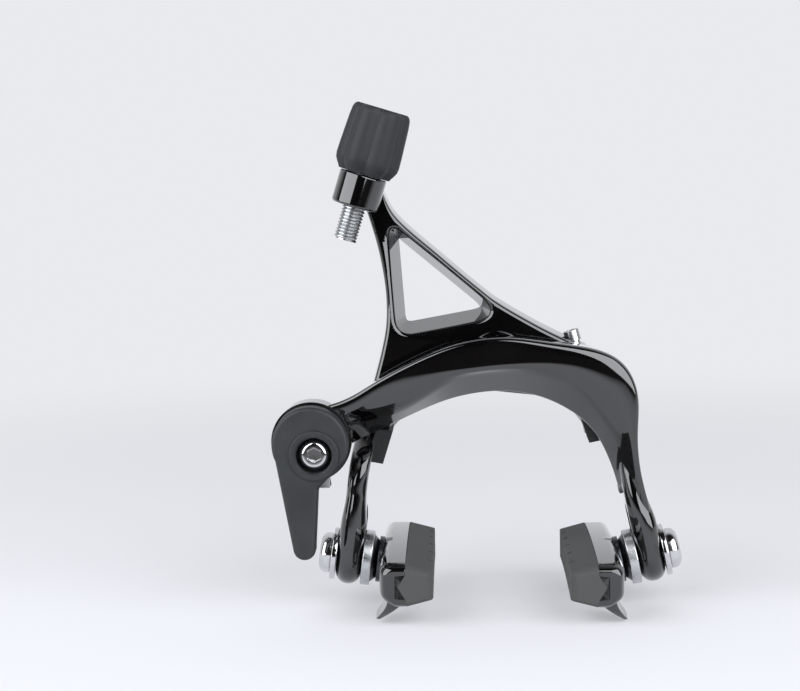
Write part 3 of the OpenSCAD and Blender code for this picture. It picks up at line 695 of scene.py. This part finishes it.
    def build(self) -> Obj:
        """Builds the arm, with its bosses, bores, slot and spring seat."""
        at_disc = along_y(self.layout.disc[0], self.layout.lug_back, self.layout.disc[1])
        at_side = along_y(self.layout.side_pivot[0], self.layout.plate_back, self.layout.side_pivot[1])
        lug = Bench.turned("lug", [(0, 0), (self.lug_r - 0.4, 0),
                                   *arc(1.0, 270, 360, 5, (self.lug_r - 1.0, 1.0)),
                                   (self.lug_r, self.lug_long), (0, self.lug_long)])
        lug.data.transform(at_disc)
        boss = Bench.bar("boss", self.boss_r, 0, self.boss_long, at_side)
        leg = self.feet.limb(Side.RIGHT, self.leg_outer, self.leg_inner, self.leg_front, self.leg_back)
        arm = Bench.combine(self.forging(), [lug, boss, leg], "UNION")
        cutters = [Bench.bar("sleeve_bore", self.sleeve_r, -1, self.lug_long + 2, at_disc),
                   Bench.bar("nut_room", self.nut_room_r, -9, 0, at_disc),
                   Bench.bar("pivot_bore", self.side_bolt_r, -1, self.boss_long + 2.5, at_side),
                   *self.feet.cutters(Side.RIGHT),
                   Bench.sawn("clip_seat", self.clip_seat, -17, self.layout.bracket_front)]
        Bench.combine(arm, cutters, "DIFFERENCE")
        return Bench.finish(arm, ENAMEL, "front_arm", "black_arms", ["front_arm"], 38)


@dataclass
class RearArm:
    """The arm with the cable adjuster, the window and the left pad.

    Attributes:
        layout: The shared places.
        feet: The maker of legs and feet.
        left: Left edge, in X and Z, from the head down.
        right: Right edge, from the head round the hub to the leg.
        window: Corners of the window, with how far their rounding reaches.
        leg_outer: Outer points of the leg, taken as on the right.
        leg_inner: Its inner points.
        leg_front: Y of its front.
        leg_back: Y of its back.
        front_round: Depth and width of the front edge's rounding.
    """

    layout: Layout
    feet: Feet
    left: Sequence[Pair] = ((-33, 41), (-31, 35.5), (-28.6, 27), (-27.2, 19), (-26.8, 13), (-27.1, 7.5),
                            (-28.2, 2), (-29.8, -4), (-31.6, -10), (-33.2, -16))
    right: Sequence[Pair] = ((-27.5, 41.5), (-24, 34.6), (-13.6, 25.2), (-4, 17), (1, 13.2), (10.5, 7.6),
                             (18.4, 3.6), (22.2, 1.6), (20.4, -1.8), (10, -5.6), (0, -7.3), (-8, -7),
                             (-17, -9), (-24, -13.5), (-27, -18))
    window: Sequence[tuple[Pair, float]] = (((-26.3, 34), 5.5), ((-24.3, 5.7), 4.4), ((1.8, 10.3), 8.0))
    leg_outer: Sequence[Pair] = ((30, -8.5), (31.4, -12.5), (34.6, -18.5), (36.2, -25), (37.2, -33))
    leg_inner: Sequence[Pair] = ((26, -9), (26.8, -13), (28.8, -18.5), (30.8, -24), (32.1, -32))
    leg_front: Sequence[float] = (-15.6, -15.8, -18.4, -25.4, -26.6)
    leg_back: Sequence[float] = (-9.6, -9.4, -9.6, -11, -13.2)
    front_round: Pair = (1.3, 1.1)
    hub_r: float = 6.8
    hub_long: float = 10.0
    hub_bore_r: float = 5.05
    side_room_r: float = 6.6
    thread_bore_r: float = 2.9
    screw_at: tuple[float, float, float] = (19.05, -13, 3.3)
    screw_lean: float = -17.0
    screw_r: float = 1.55
    screw_head_r: float = 1.95
    clip_seat: Sequence[Pair] = ((-32.5, -24.6), (-28.2, -25.4), (-25.6, -17.2), (-29.6, -16.8))

    def plate(self, count: int = 120) -> Obj:
        """Returns the plate, with a rounded front edge and drafted sides."""
        lay = self.layout
        loop = [(p.x, p.y) for p in [*rail(self.left, count), *reversed(rail(self.right, count))]]
        deep, wide = self.front_round
        turns = [math.radians(w) for w in range(0, 91, 15)]
        steps = [(lay.plate_front + deep * (1 - math.cos(w)), wide * (1 - math.sin(w))) for w in turns]
        steps += [(lay.plate_back - 1, -0.45), (lay.plate_back - 0.5, -0.3), (lay.plate_back, 0.3)]
        rings = [[Vector((x, y, z)) for x, z in inset(loop, by, 9)] for y, by in steps]
        return Bench.lofted("rear_arm_forging", rings, paired=True)

    def window_cutter(self) -> Obj:
        """Returns the tapered window, flared at the front edge."""
        lay = self.layout
        outline = [(p.x, p.y) for p in rounded([(Vector(c), r) for c, r in self.window], 12)]
        steps = [(lay.plate_front - 0.5, -1.5), (lay.plate_front, -1.0), (lay.plate_front + 0.12, -0.7),
                 (lay.plate_front + 0.35, -0.35), (lay.plate_front + 0.7, -0.1), (lay.plate_front + 1.1, 0.0),
                 (lay.plate_back + 0.5, 2.3)]
        return Bench.lofted("window", [[Vector((x, y, z)) for x, z in inset(outline, by)] for y, by in steps])

    def leg(self) -> Obj:
        """Returns the leg with its foot."""
        return self.feet.limb(Side.LEFT, self.leg_outer, self.leg_inner, self.leg_front, self.leg_back)

    def build(self) -> Obj:
        """Builds the arm, with its head, hub ring, window, bores and slot."""
        lay = self.layout
        head = Bench.turned("head", [(0, -8), *arc(0.7, -90, 0, 4, (5.1, -7.3)),
                                     *arc(0.5, 0, 90, 4, (5.3, -0.5)), (0, 0)])
        lay.place(head, lay.knob())
        ring = Bench.turned("hub_ring", [(0, 0), (self.hub_r, 0),
                                         *arc(0.25, 0, 90, 4, (self.hub_r - 0.25, self.hub_long - 0.25)),
                                         (0, self.hub_long)])
        ring.data.transform(along_y(0, lay.plate_back, 0))
        arm = Bench.combine(self.plate(), [self.leg(), ring, head], "UNION")
        turn = Matrix.Rotation(math.radians(self.screw_lean), 4, "Y")
        screw = Matrix.Translation(self.screw_at) @ turn
        at_side = along_y(lay.side_pivot[0], lay.plate_back, lay.side_pivot[1])
        cutters = [self.window_cutter(),
                   Bench.bar("hub_bore", self.hub_bore_r, -1, 12, along_y(0, lay.plate_back, 0)),
                   Bench.bar("side_room", self.side_room_r, -1, 12, at_side),
                   *self.feet.cutters(Side.LEFT),
                   Bench.bar("thread_bore", self.thread_bore_r, -20, 10, lay.knob()),
                   Bench.bar("screw_bore", self.screw_r, -8, 8, screw),
                   Bench.bar("screw_seat", self.screw_head_r, 0.4, 6.4, screw),
                   Bench.sawn("clip_seat", self.clip_seat, -19.8, lay.bracket_front)]
        Bench.combine(arm, cutters, "DIFFERENCE")
        return Bench.finish(arm, ENAMEL, "rear_arm", "black_arms", ["rear_arm"], 38)


@dataclass
class Adjuster:
    """The cable adjuster: a fluted grip over a threaded barrel.

    Attributes:
        layout: The shared places.
        radius: The grip's greatest radius.
        flute: Depth of the grooves between its lobes.
        lobes: Number of lobes.
        around: Number of points round it.
        profile: Height and share of the radius of each ring.
    """

    layout: Layout
    radius: float = 7.8
    flute: float = 1.3
    lobes: int = 6
    around: int = 216
    profile: Sequence[Pair] = ((0.15, 0.80), (0.3, 0.82), (0.8, 0.85), (1.6, 0.92), (2.5, 0.98), (3.6, 1.0),
                               (6, 0.99), (9, 0.97), (13.2, 0.94), (14.9, 0.915), (15.3, 0.905), (15.9, 0.87),
                               (16.2, 0.83), (16.4, 0.79))

    def grip(self) -> Obj:
        """Builds the grip, with broad flutes between rounded lobes."""
        rings = []
        for w, share in self.profile:
            ring = []
            for j in range(self.around):
                turn = 2 * math.pi * j / self.around
                wave = self.flute * (math.sqrt(math.cos(self.lobes * turn / 2) ** 2 + 0.006) - 1)
                r = self.radius * share + wave
                ring.append(Vector((r * math.cos(turn), r * math.sin(turn), w)))
            rings.append(ring)
        grip = Bench.lofted("grip", rings)
        bores = [Bench.bar("low_bore", 2.9, -1, 7), Bench.bar("cup_bore", 4.45, 5.5, 20)]
        Bench.combine(grip, bores, "DIFFERENCE")
        self.layout.place(grip, self.layout.knob())
        return Bench.finish(grip, GRIP, "adjuster_knob", "grip", ["adjuster_knob"], 40)

    def barrel(self) -> Obj:
        """Builds the threaded barrel, with the cup that takes the cable housing."""
        thread = Thread(2.85, 0.8).rod("barrel", -16.5, -4.0)
        cup = Bench.turned("cup", [(1.0, -16.3), (2.3, -16.3), (2.3, 5.6), (4.2, 5.6), (4.4, 5.8),
                                   (4.4, 15.7), (4.1, 16.0), (2.9, 16.0), (2.6, 15.7), (2.6, 7.0),
                                   (1.0, 7.0), (1.0, -16.3)])
        barrel = Bench.joined(thread, [cup])
        self.layout.place(barrel, self.layout.knob())
        return Bench.finish(barrel, ZINC, "adjuster_barrel", "alloy", ["adjuster_barrel"])


@dataclass
class Thread:
    """A screw thread of one pitch, cut on a round bar."""

    radius: float
    pitch: float

    def rod(self, name: str, low: float, high: float) -> Obj:
        """Returns the thread's surface along Z between two heights, as one coil."""
        root, crest = self.radius - 0.55 * self.pitch, self.radius - 0.05
        turns = int((high - low) / self.pitch)
        obj = Bench.trace(name, [Vector((r, 0, low + share * self.pitch))
                                 for r, share in ((root, 0.0), (crest, 0.4), (crest, 0.6), (root, 1.0))])
        bpy.ops.object.mode_set(mode="OBJECT")
        Bench.apply(obj, "SCREW", axis="Z", angle=2 * math.pi, screw_offset=self.pitch, iterations=turns,
                    steps=48, render_steps=48, use_merge_vertices=True, merge_threshold=1e-3,
                    use_normal_calculate=True)
        Bench.hold(obj)
        bpy.ops.object.mode_set(mode="EDIT")
        Bench.close(1e-3)
        return obj


@dataclass
class QuickRelease:
    """The quick-release lever and the cable anchor that it carries."""

    layout: Layout
    radius: float = 9.1
    tail: float = 25.0
    tip: float = 2.7

    def lever(self) -> Obj:
        """Builds the moulded lever, with its raised ring and recess."""
        lay, d = self.layout, self.layout.disc
        end = (d[0] - 0.07 * self.tail, d[1] - self.tail)
        outline = [*arc(self.radius, -25, 205, 46, d), *arc(self.tip, 188, 368, 16, end),
                   (d[0] + 1.8, d[1] - 10.4)]
        lever = Bench.sawn("lever", outline, lay.disc_front, lay.disc_back)
        Bench.soften(lever, 0.9, 4, 40)
        ring = Bench.turned("ring", [(0, -1), (6, -1), *arc(0.35, 0, 90, 4, (5.65, 0.15)), (0, 0.5)])
        at_anchor = along_y(lay.anchor[0], lay.disc_front, lay.anchor[1])
        ring.data.transform(at_anchor)
        Bench.combine(lever, [ring], "UNION")
        recess = Bench.turned("recess", [(0, -3.4), (3.9, -3.4), (4.3, -3.0), (4.3, 0.0), (4.8, 0.6),
                                         (4.8, 3), (0, 3)])
        recess.data.transform(at_anchor)
        bore = Bench.bar("bore", 2.55, -9, 1, at_anchor)
        spigot = Bench.bar("spigot", 5.6, 0, 1.5, along_y(d[0], lay.disc_back + 0.5, d[1]))
        Bench.combine(lever, [recess, bore, spigot], "DIFFERENCE")
        return Bench.finish(lever, LEVER_NYLON, "quick_release", "lever", ["quick_release_lever"])

    def bolt(self) -> Obj:
        """Builds the anchor bolt, whose domed head has a hexagon socket."""
        lay = self.layout
        head = Bolt(3.7, 2.6, 1.8, 1.5).solid("anchor_bolt", 2.5, -18.5)
        head.data.transform(along_y(lay.anchor[0], lay.disc_front + 3.2, lay.anchor[1]))
        return Bench.finish(head, CHROME, "cable_anchor", "steel_hardware", ["anchor_bolt"])


@dataclass
class Bolt:
    """A button-head bolt with a hexagon socket, its head's seat at height 0 and its shank below.

    Attributes:
        head_r: Radius of the head.
        head_h: Height of the head.
        socket_r: Radius over the socket's corners.
        socket_deep: Depth of the socket.
    """

    head_r: float
    head_h: float
    socket_r: float
    socket_deep: float

    def solid(self, name: str, shank_r: float, shank_end: float) -> Obj:
        """Returns the bolt along Z."""
        h, r = self.head_h, self.head_r
        flat = self.socket_r + 0.5
        turns = [math.radians(w) for w in range(0, 91, 10)]
        dome = [(flat + (r - flat) * math.sin(w), h * 0.35 + h * 0.65 * math.cos(w)) for w in turns]
        bolt = Bench.turned(name, [(0, h), *dome, (r, h * 0.12), (r - h * 0.12, 0), (shank_r, 0),
                                   (shank_r, shank_end + 0.5), (shank_r - 0.5, shank_end), (0, shank_end)])
        Bench.release()
        bpy.ops.mesh.primitive_cylinder_add(vertices=6, radius=self.socket_r, depth=2 * self.socket_deep,
                                            location=(0, 0, h))
        socket = bpy.context.object
        bpy.ops.object.transform_apply(location=True, rotation=True, scale=True)
        Bench.combine(bolt, [socket], "DIFFERENCE")
        return Bench.soften(bolt, 0.12, 2, 50)


@dataclass
class Pads:
    """One pad with its bolt and holder.

    Attributes:
        layout: The shared places.
        side: The side.
        length: Length of the pad.
        rim_r: Radius of the rim's braking track, which the pad follows.
        height: Height of the holder.
        depth: Depth of the holder, sideways.
        wall: Thickness of its back.
        rubber_out: How far the rubber stands out of it.
        end_round: Length of the rounding at both ends.
        end_share: Share of the section that is left at the very end.
        screw_ahead: How far the pad screw lies in front of the bolt.
        screw_below: How far it lies below the holder's middle.
        grooves: Y of the water grooves.
    """

    layout: Layout
    side: Side
    length: float = 50.0
    rim_r: float = 311.0
    height: float = 10.6
    depth: float = 6.2
    wall: float = 2.6
    rubber_out: float = 6.4
    end_round: float = 3.2
    end_share: float = 0.72
    screw_ahead: float = 11.0
    screw_below: float = 1.0
    grooves: Sequence[float] = (-36.0, -28.0, -20.0, -12.0, -4.0)

    @property
    def x(self) -> float:
        """Sideways place of the holder's back, taken as on the right."""
        lay = self.layout
        return lay.foot_x + lay.holder_at * math.cos(math.radians(lay.lean(self.side)))

    @property
    def z(self) -> float:
        """Height of the holder's middle."""
        lay = self.layout
        return -lay.reach + lay.holder_at * math.sin(math.radians(lay.lean(self.side)))

    def swept(self, name: str, section: Sequence[tuple[float, float, float]], steps: int = 48) -> Obj:
        """Sweeps a section along the rim's curve.

        Args:
            name: The piece's name.
            section: Height, X and rounding of each corner.
            steps: Number of steps along the pad.

        Returns:
            The solid, on its own side.
        """
        loop = rounded([(Vector((x, z, 0.0)), r) for z, x, r in section], 4)
        half = self.length / 2 / self.rim_r
        middle = Vector((self.x - self.depth, 0.0, 0.0))
        stations = [self.end_round * (1 - math.cos(math.radians(7.5 * k))) for k in range(13)]
        inner = self.length - 2 * self.end_round
        stations += [self.end_round + inner * k / steps for k in range(1, steps)]
        stations += [self.length - s for s in reversed(stations[:13])]
        rings = []
        for s in stations:
            w = -half + 2 * half * s / self.length
            near = min(1.0, min(s, self.length - s) / self.end_round)
            share = self.end_share + (1 - self.end_share) * math.sqrt(1 - (1 - near) ** 2)
            ring = [middle + (p - middle) * share for p in loop]
            rings.append([Vector((p.x, self.layout.foot_y + (self.rim_r + p.y) * math.sin(w),
                                  self.z - self.rim_r + (self.rim_r + p.y) * math.cos(w))) for p in ring])
        obj = Bench.lofted(name, rings)
        if self.side is Side.LEFT:
            self.layout.place(obj, MIRROR)
        return obj

    def fin(self) -> Obj:
        """Returns the curved wheel-guide fin below the holder's front end."""
        sag = self.length ** 2 / (8 * self.rim_r)
        z = self.z - self.height / 2 - sag
        front = self.layout.foot_y - self.length / 2 + self.end_round
        rings = []
        for k in range(17):
            t = k / 16
            low = z + 0.9 - t * 4.5
            mid, half = self.x - 3.6 + 4 * t ** 1.3, 2 - 1.4 * t
            y0, y1 = front + 2.6 * t * t, front + 12.4 - 4 * t
            corners = [Vector((mid - half, y0, low)), Vector((mid + half, y0, low)),
                       Vector((mid + half, y1, low + 0.9)), Vector((mid - half, y1, low + 0.9))]
            rings.append(rounded([(c, 0.8) for c in corners], 4))
        fin = Bench.lofted("fin", rings)
        if self.side is Side.LEFT:
            self.layout.place(fin, MIRROR)
        return fin

    def holder(self) -> Obj:
        """Builds the gloss holder, with its neck, its fin and the bolt's bore."""
        h, x, lay = self.height / 2, self.x, self.layout
        lip, back = x - self.depth, x - self.wall
        section = [(h - 1.4, x, 1.2), (h, x - 1.6, 1.2), (h, lip, 0.3), (h - 1.1, lip, 0.3),
                   (h - 1.5, back, 0.4), (1.5 - h, back, 0.4), (1.1 - h, lip, 0.3), (-h, lip, 0.3),
                   (-h, x - 3, 1.4), (2.5 - h, x, 1.4)]
        holder = self.swept("holder", section)
        neck = Bench.turned("neck", [(0, lay.holder_at - 1.7), (6.0, lay.holder_at - 1.7),
                                     (5.6, lay.holder_at - 0.3), (5.3, lay.holder_at), (0, lay.holder_at)])
        lay.place(neck, lay.bolt(self.side))
        Bench.combine(holder, [self.fin(), neck], "UNION")
        screw = self.screw_place()
        cutters = [Bench.bar("bolt_bore", 2.95, lay.holder_at - 6, lay.holder_at + 1, lay.bolt(self.side)),
                   Bench.bar("washer_room", 5.9, lay.holder_at, lay.holder_at + 4, lay.bolt(self.side)),
                   Bench.bar("screw_bore", 1.55, -3, 3, screw)]
        Bench.combine(holder, cutters, "DIFFERENCE")
        word = self.side.word
        holder.name = f"{word}_holder"
        return Bench.finish(holder, ENAMEL, f"{word}_shoe", "black_arms", [f"{word}_pad_holder"], 38)

    def screw_place(self) -> Matrix:
        """Returns the pad screw's frame, its Z axis outwards."""
        spot = Matrix.Translation((self.x, self.layout.foot_y - self.screw_ahead, self.z - self.screw_below))
        right = spot @ Matrix.Rotation(QUARTER, 4, "Y")
        return right if self.side is Side.RIGHT else MIRROR @ right

    def rubber(self) -> Obj:
        """Builds the rubber pad, with a few water grooves across its braking face."""
        h, x, lay = self.height / 2, self.x, self.layout
        lip, back = x - self.depth, x - self.wall
        face = lip - self.rubber_out
        section = [(h - 1.5, back, 0.3), (h - 1.1, lip, 0.2), (h, lip, 0.3), (h - 1.7, face, 0.3),
                   (1.7 - h, face, 0.3), (-h, lip, 0.3), (1.1 - h, lip, 0.2), (1.5 - h, back, 0.3)]
        pad = self.swept("pad", section)
        sign = self.side.value
        cutters = []
        for y in self.grooves:
            Bench.release()
            bpy.ops.mesh.primitive_cube_add(size=1, location=(sign * face, y, self.z), scale=(2.4, 1.3, 12))
            bpy.ops.object.transform_apply(location=True, rotation=True, scale=True)
            cutters.append(bpy.context.object)
        Bench.combine(pad, cutters, "DIFFERENCE")
        word = self.side.word
        pad.name = f"{word}_rubber"
        return Bench.finish(pad, RUBBER, f"{word}_shoe", "pad_rubber", [f"{word}_brake_pad"])

    def bolt(self) -> Obj:
        """Builds the pad bolt with its domed chrome head."""
        lay, word = self.layout, self.side.word
        seat = lay.foot_t / 2 + 0.05 + 1.3
        bolt = Bolt(4.9, 3.0, 2.3, 2.2).solid(f"{word}_bolt", 2.9, lay.holder_at - 1.6 - seat)
        lay.place(bolt, lay.bolt(self.side) @ Matrix.Translation((0, 0, seat)))
        return Bench.finish(bolt, CHROME, f"{word}_pad_bolt", "chromed", [f"{word}_pad_bolt"])

    def build(self) -> list[Obj]:
        """Builds the holder, the rubber and the bolt."""
        return [self.holder(), self.rubber(), self.bolt()]


@dataclass
class Mounting:
    """The threaded stud that holds the caliper on its fork."""

    layout: Layout

    def stud(self) -> Obj:
        """Builds the stud, threaded behind the serrated washer, with its collar and axle."""
        thread = Thread(3.0, 1.0).rod("stud", 5.0, 23.0)
        core = Bench.turned("core", [(0, -20), (3.6, -20), (4, -19.6), (4, -7.5), (5.2, -7.5), (5.2, -5),
                                     (3.3, -5), (3.3, 0), (2.98, 0), (2.98, 5.2), (2.46, 5.4), (2.46, 23.2),
                                     (1.9, 24), (0, 24)])
        stud = Bench.joined(thread, [core])
        stud.data.transform(Matrix.Rotation(-math.pi / 2, 4, "X"))
        return Bench.finish(stud, ZINC, "pivot_body", "steel_hardware", ["mounting_stud"])


@dataclass
class Hardware:
    """The plain turned and pressed pieces, whose shapes are right as they are.

    Attributes:
        single: Finish and edge bevel of each node that is there once.
        paired: The same of each that is there left and right.
    """

    single: dict[str, tuple[Finish, float]] = field(default_factory=lambda: {
        "serrated_washer": (ALLOY, 0.12), "pivot_bracket": (ENAMEL, 0.5), "side_bush": (CLIP, 0.1),
        "centre_thrust_washer": (ZINC, 0.1), "side_thrust_washer": (ZINC, 0.1), "pivot_nut": (ZINC, 0.15),
        "return_spring": (ZINC, 0.0), "rear_arm_bush": (CLIP, 0.1), "centring_screw": (ZINC, 0.12),
        "side_pivot_bolt": (ZINC, 0.15), "eccentric_sleeve": (ALLOY, 0.15), "anchor_plate": (ZINC, 0.15),
        "anchor_nut": (ZINC, 0.15), "cable_end_guide": (CLIP, 0.2)})
    paired: dict[str, tuple[Finish, float]] = field(default_factory=lambda: {
        "spring_guide": (CLIP, 0.4), "outer_washer": (CHROME, 0.2), "inner_washer": (ALLOY, 0.25),
        "domed_washer": (OXIDE, 0.15), "cupped_washer": (OXIDE, 0.15), "pad_screw": (CHROME, 0.15)})

    def dress(self) -> None:
        """Gives each of these nodes its finish, merged facets and bevelled edges."""
        both = {f"{side.word}_{name}": look for side in Side for name, look in self.paired.items()}
        for name, (finish, edge) in {**self.single, **both}.items():
            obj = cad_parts[name]
            for slot in obj.material_slots:
                slot.material = finish.material()
            if not obj.material_slots:
                obj.data.materials.append(finish.material())
            obj.modifiers.new("weld", "WELD").merge_threshold = 2e-6
            if edge:
                bevel = obj.modifiers.new("edges", "BEVEL")
                bevel.width = edge * MM
                bevel.segments = 3
                bevel.limit_method = "ANGLE"
                bevel.angle_limit = math.radians(40)
            for polygon in obj.data.polygons:
                polygon.use_smooth = True
            obj.modifiers.new("normals", "WEIGHTED_NORMAL")
            log.info("%s: dressed", name)


@dataclass
class Studio:
    """The pale floor, the two softboxes, the room that the gloss shows, and the camera."""

    pale: str = "#e9eaee"
    lamp_far: float = 0.62
    floor_z: float = -60.2
    camera_mm: tuple[float, float, float] = (-9.583, -464.339, 55.454)
    right: tuple[float, float, float] = (0.999438, 0.029596, -0.015744)
    down: tuple[float, float, float] = (-0.012211, -0.115963, -0.993179)
    ahead: tuple[float, float, float] = (-0.03122, 0.992813, -0.115536)

    def camera(self) -> None:
        """Sets the camera at the photograph's viewing angle."""
        data = bpy.data.cameras.new("camera")
        data.lens, data.sensor_width, data.clip_start = 83.0, 36.0, 0.01
        obj = bpy.data.objects.new("camera", data)
        axes = [Vector(self.right), -Vector(self.down), -Vector(self.ahead)]
        turn = Matrix([[axis[row] for axis in axes] for row in range(3)]).to_4x4()
        obj.matrix_world = Matrix.Translation(Vector(self.camera_mm) * MM) @ turn
        bpy.context.scene.collection.objects.link(obj)
        bpy.context.scene.camera = obj

    def floor(self) -> None:
        """Lays the floor, which fades into the background, and in front is painted shade: a dark sheet that
        only reflections and bounced light see.
        """
        Bench.release()
        bpy.ops.mesh.primitive_circle_add(vertices=96, radius=6, fill_type="NGON")
        floor = bpy.context.object
        floor.name = "floor"
        floor.data.transform(Matrix.Translation((0, 0, self.floor_z * MM)))
        made = bpy.data.materials.new("paper_sweep")
        made.use_nodes = True
        tree = made.node_tree
        tree.nodes.clear()
        place = add_node(tree, "ShaderNodeTexCoord").outputs["Object"]
        far = add_node(tree, "ShaderNodeVectorMath", {"operation": "LENGTH"}, {0: place})
        fade = add_node(tree, "ShaderNodeMapRange", {"interpolation_type": "SMOOTHSTEP", "From Min": 0.1,
                                                     "From Max": 0.45, "To Min": 0.35, "To Max": 1.0},
                        {"Value": far.outputs["Value"]})
        paper = add_node(tree, "ShaderNodeBsdfDiffuse", {"Color": linear(self.pale)})
        glow = add_node(tree, "ShaderNodeEmission", {"Color": linear(self.pale), "Strength": 1.0})
        mix = add_node(tree, "ShaderNodeMixShader", {}, {0: fade.outputs[0], 1: paper.outputs[0],
                                                         2: glow.outputs[0]})
        parts = add_node(tree, "ShaderNodeSeparateXYZ", {}, {0: place})
        # Mask of the floor in front, where reflections and bounced light see painted shade instead of the
        # pale floor
        edge = add_node(tree, "ShaderNodeMapRange", {"interpolation_type": "SMOOTHSTEP", "From Min": -0.3,
                                                     "From Max": -0.1}, {"Value": parts.outputs["Y"]})
        path = add_node(tree, "ShaderNodeLightPath")
        seen = add_node(tree, "ShaderNodeMath", {"operation": "MAXIMUM"},
                        {0: path.outputs["Is Camera Ray"], 1: edge.outputs[0]})
        # Painted shade: a dark colour that reflections and bounced light see on the floor in front in place
        # of its shaded part; the camera still sees the pale floor
        painted_shade = add_node(tree, "ShaderNodeBsdfDiffuse", {"Color": linear("#2a2623")})
        whole = add_node(tree, "ShaderNodeMixShader", {}, {0: seen.outputs[0], 1: painted_shade.outputs[0],
                                                           2: mix.outputs[0]})
        add_node(tree, "ShaderNodeOutputMaterial", {}, {"Surface": whole.outputs[0]})
        floor.data.materials.append(made)

    def softbox(self, name: str, azimuth: float, wide: float, high: float, lift: float, power: float) -> None:
        """Hangs one softbox.

        Args:
            name: Its name.
            azimuth: Degrees to the right of the camera's side.
            wide: Width in metres.
            high: Height in metres.
            lift: Height of its middle in metres.
            power: Its power in watts.
        """
        lamp = bpy.data.lights.new(name, "AREA")
        lamp.shape, lamp.size, lamp.size_y, lamp.energy = "RECTANGLE", wide, high, power
        lamp.color = linear("#f9fbff")[:3]
        obj = bpy.data.objects.new(name, lamp)
        w = math.radians(azimuth)
        spot = Vector((math.sin(w), -math.cos(w), 0)) * self.lamp_far + Vector((0, 0, lift))
        aim = spot.to_track_quat("Z", "Y").to_matrix().to_4x4()
        obj.matrix_world = Matrix.Translation(spot) @ aim
        bpy.context.scene.collection.objects.link(obj)

    def room(self) -> None:
        """Paints the world: pale to the camera, and to gloss a pale wall behind and a dark room in front."""
        world = bpy.data.worlds.new("room")
        bpy.context.scene.world = world
        world.use_nodes = True
        tree = world.node_tree
        tree.nodes.clear()
        place = add_node(tree, "ShaderNodeTexCoord").outputs["Generated"]
        parts = add_node(tree, "ShaderNodeSeparateXYZ", {}, {0: place})
        depth = add_node(tree, "ShaderNodeMapRange", {"interpolation_type": "SMOOTHSTEP", "From Min": -0.05,
                                                      "From Max": 0.5}, {"Value": parts.outputs["Y"]})
        wall = add_node(tree, "ShaderNodeValToRGB", {}, {"Fac": depth.outputs[0]})
        wall.color_ramp.elements[0].color = linear("#1f1b18")
        wall.color_ramp.elements[1].color = linear(self.pale)
        path = add_node(tree, "ShaderNodeLightPath")
        room = add_node(tree, "ShaderNodeBackground", {"Strength": 0.9}, {"Color": wall.outputs[0]})
        clear = add_node(tree, "ShaderNodeBackground", {"Strength": 1.0, "Color": linear(self.pale)})
        mix = add_node(tree, "ShaderNodeMixShader", {}, {0: path.outputs["Is Camera Ray"], 1: room.outputs[0],
                                                         2: clear.outputs[0]})
        add_node(tree, "ShaderNodeOutputWorld", {}, {"Surface": mix.outputs[0]})

    def build(self) -> None:
        """Sets the whole studio up."""
        self.camera()
        self.floor()
        self.softbox("softbox_left", -53, 0.72, 0.8, 0.24, 6.4)
        self.softbox("softbox_right", 41, 0.8, 0.8, 0.24, 7.2)
        self.room()
        bpy.context.scene.view_settings.view_transform = "Standard"


def main() -> None:
    """Builds the sub-assemblies in order and reports each piece."""
    logging.basicConfig(level=logging.INFO, format="%(name)s: %(message)s")
    layout = Layout()
    feet = Feet(layout)
    Studio().build()
    FrontArm(layout, feet).build()
    RearArm(layout, feet).build()
    adjuster = Adjuster(layout)
    adjuster.grip()
    adjuster.barrel()
    release = QuickRelease(layout)
    release.lever()
    release.bolt()
    for side in Side:
        Pads(layout, side).build()
    Mounting(layout).stud()
    Hardware().dress()


if __name__ == "__main__":
    main()
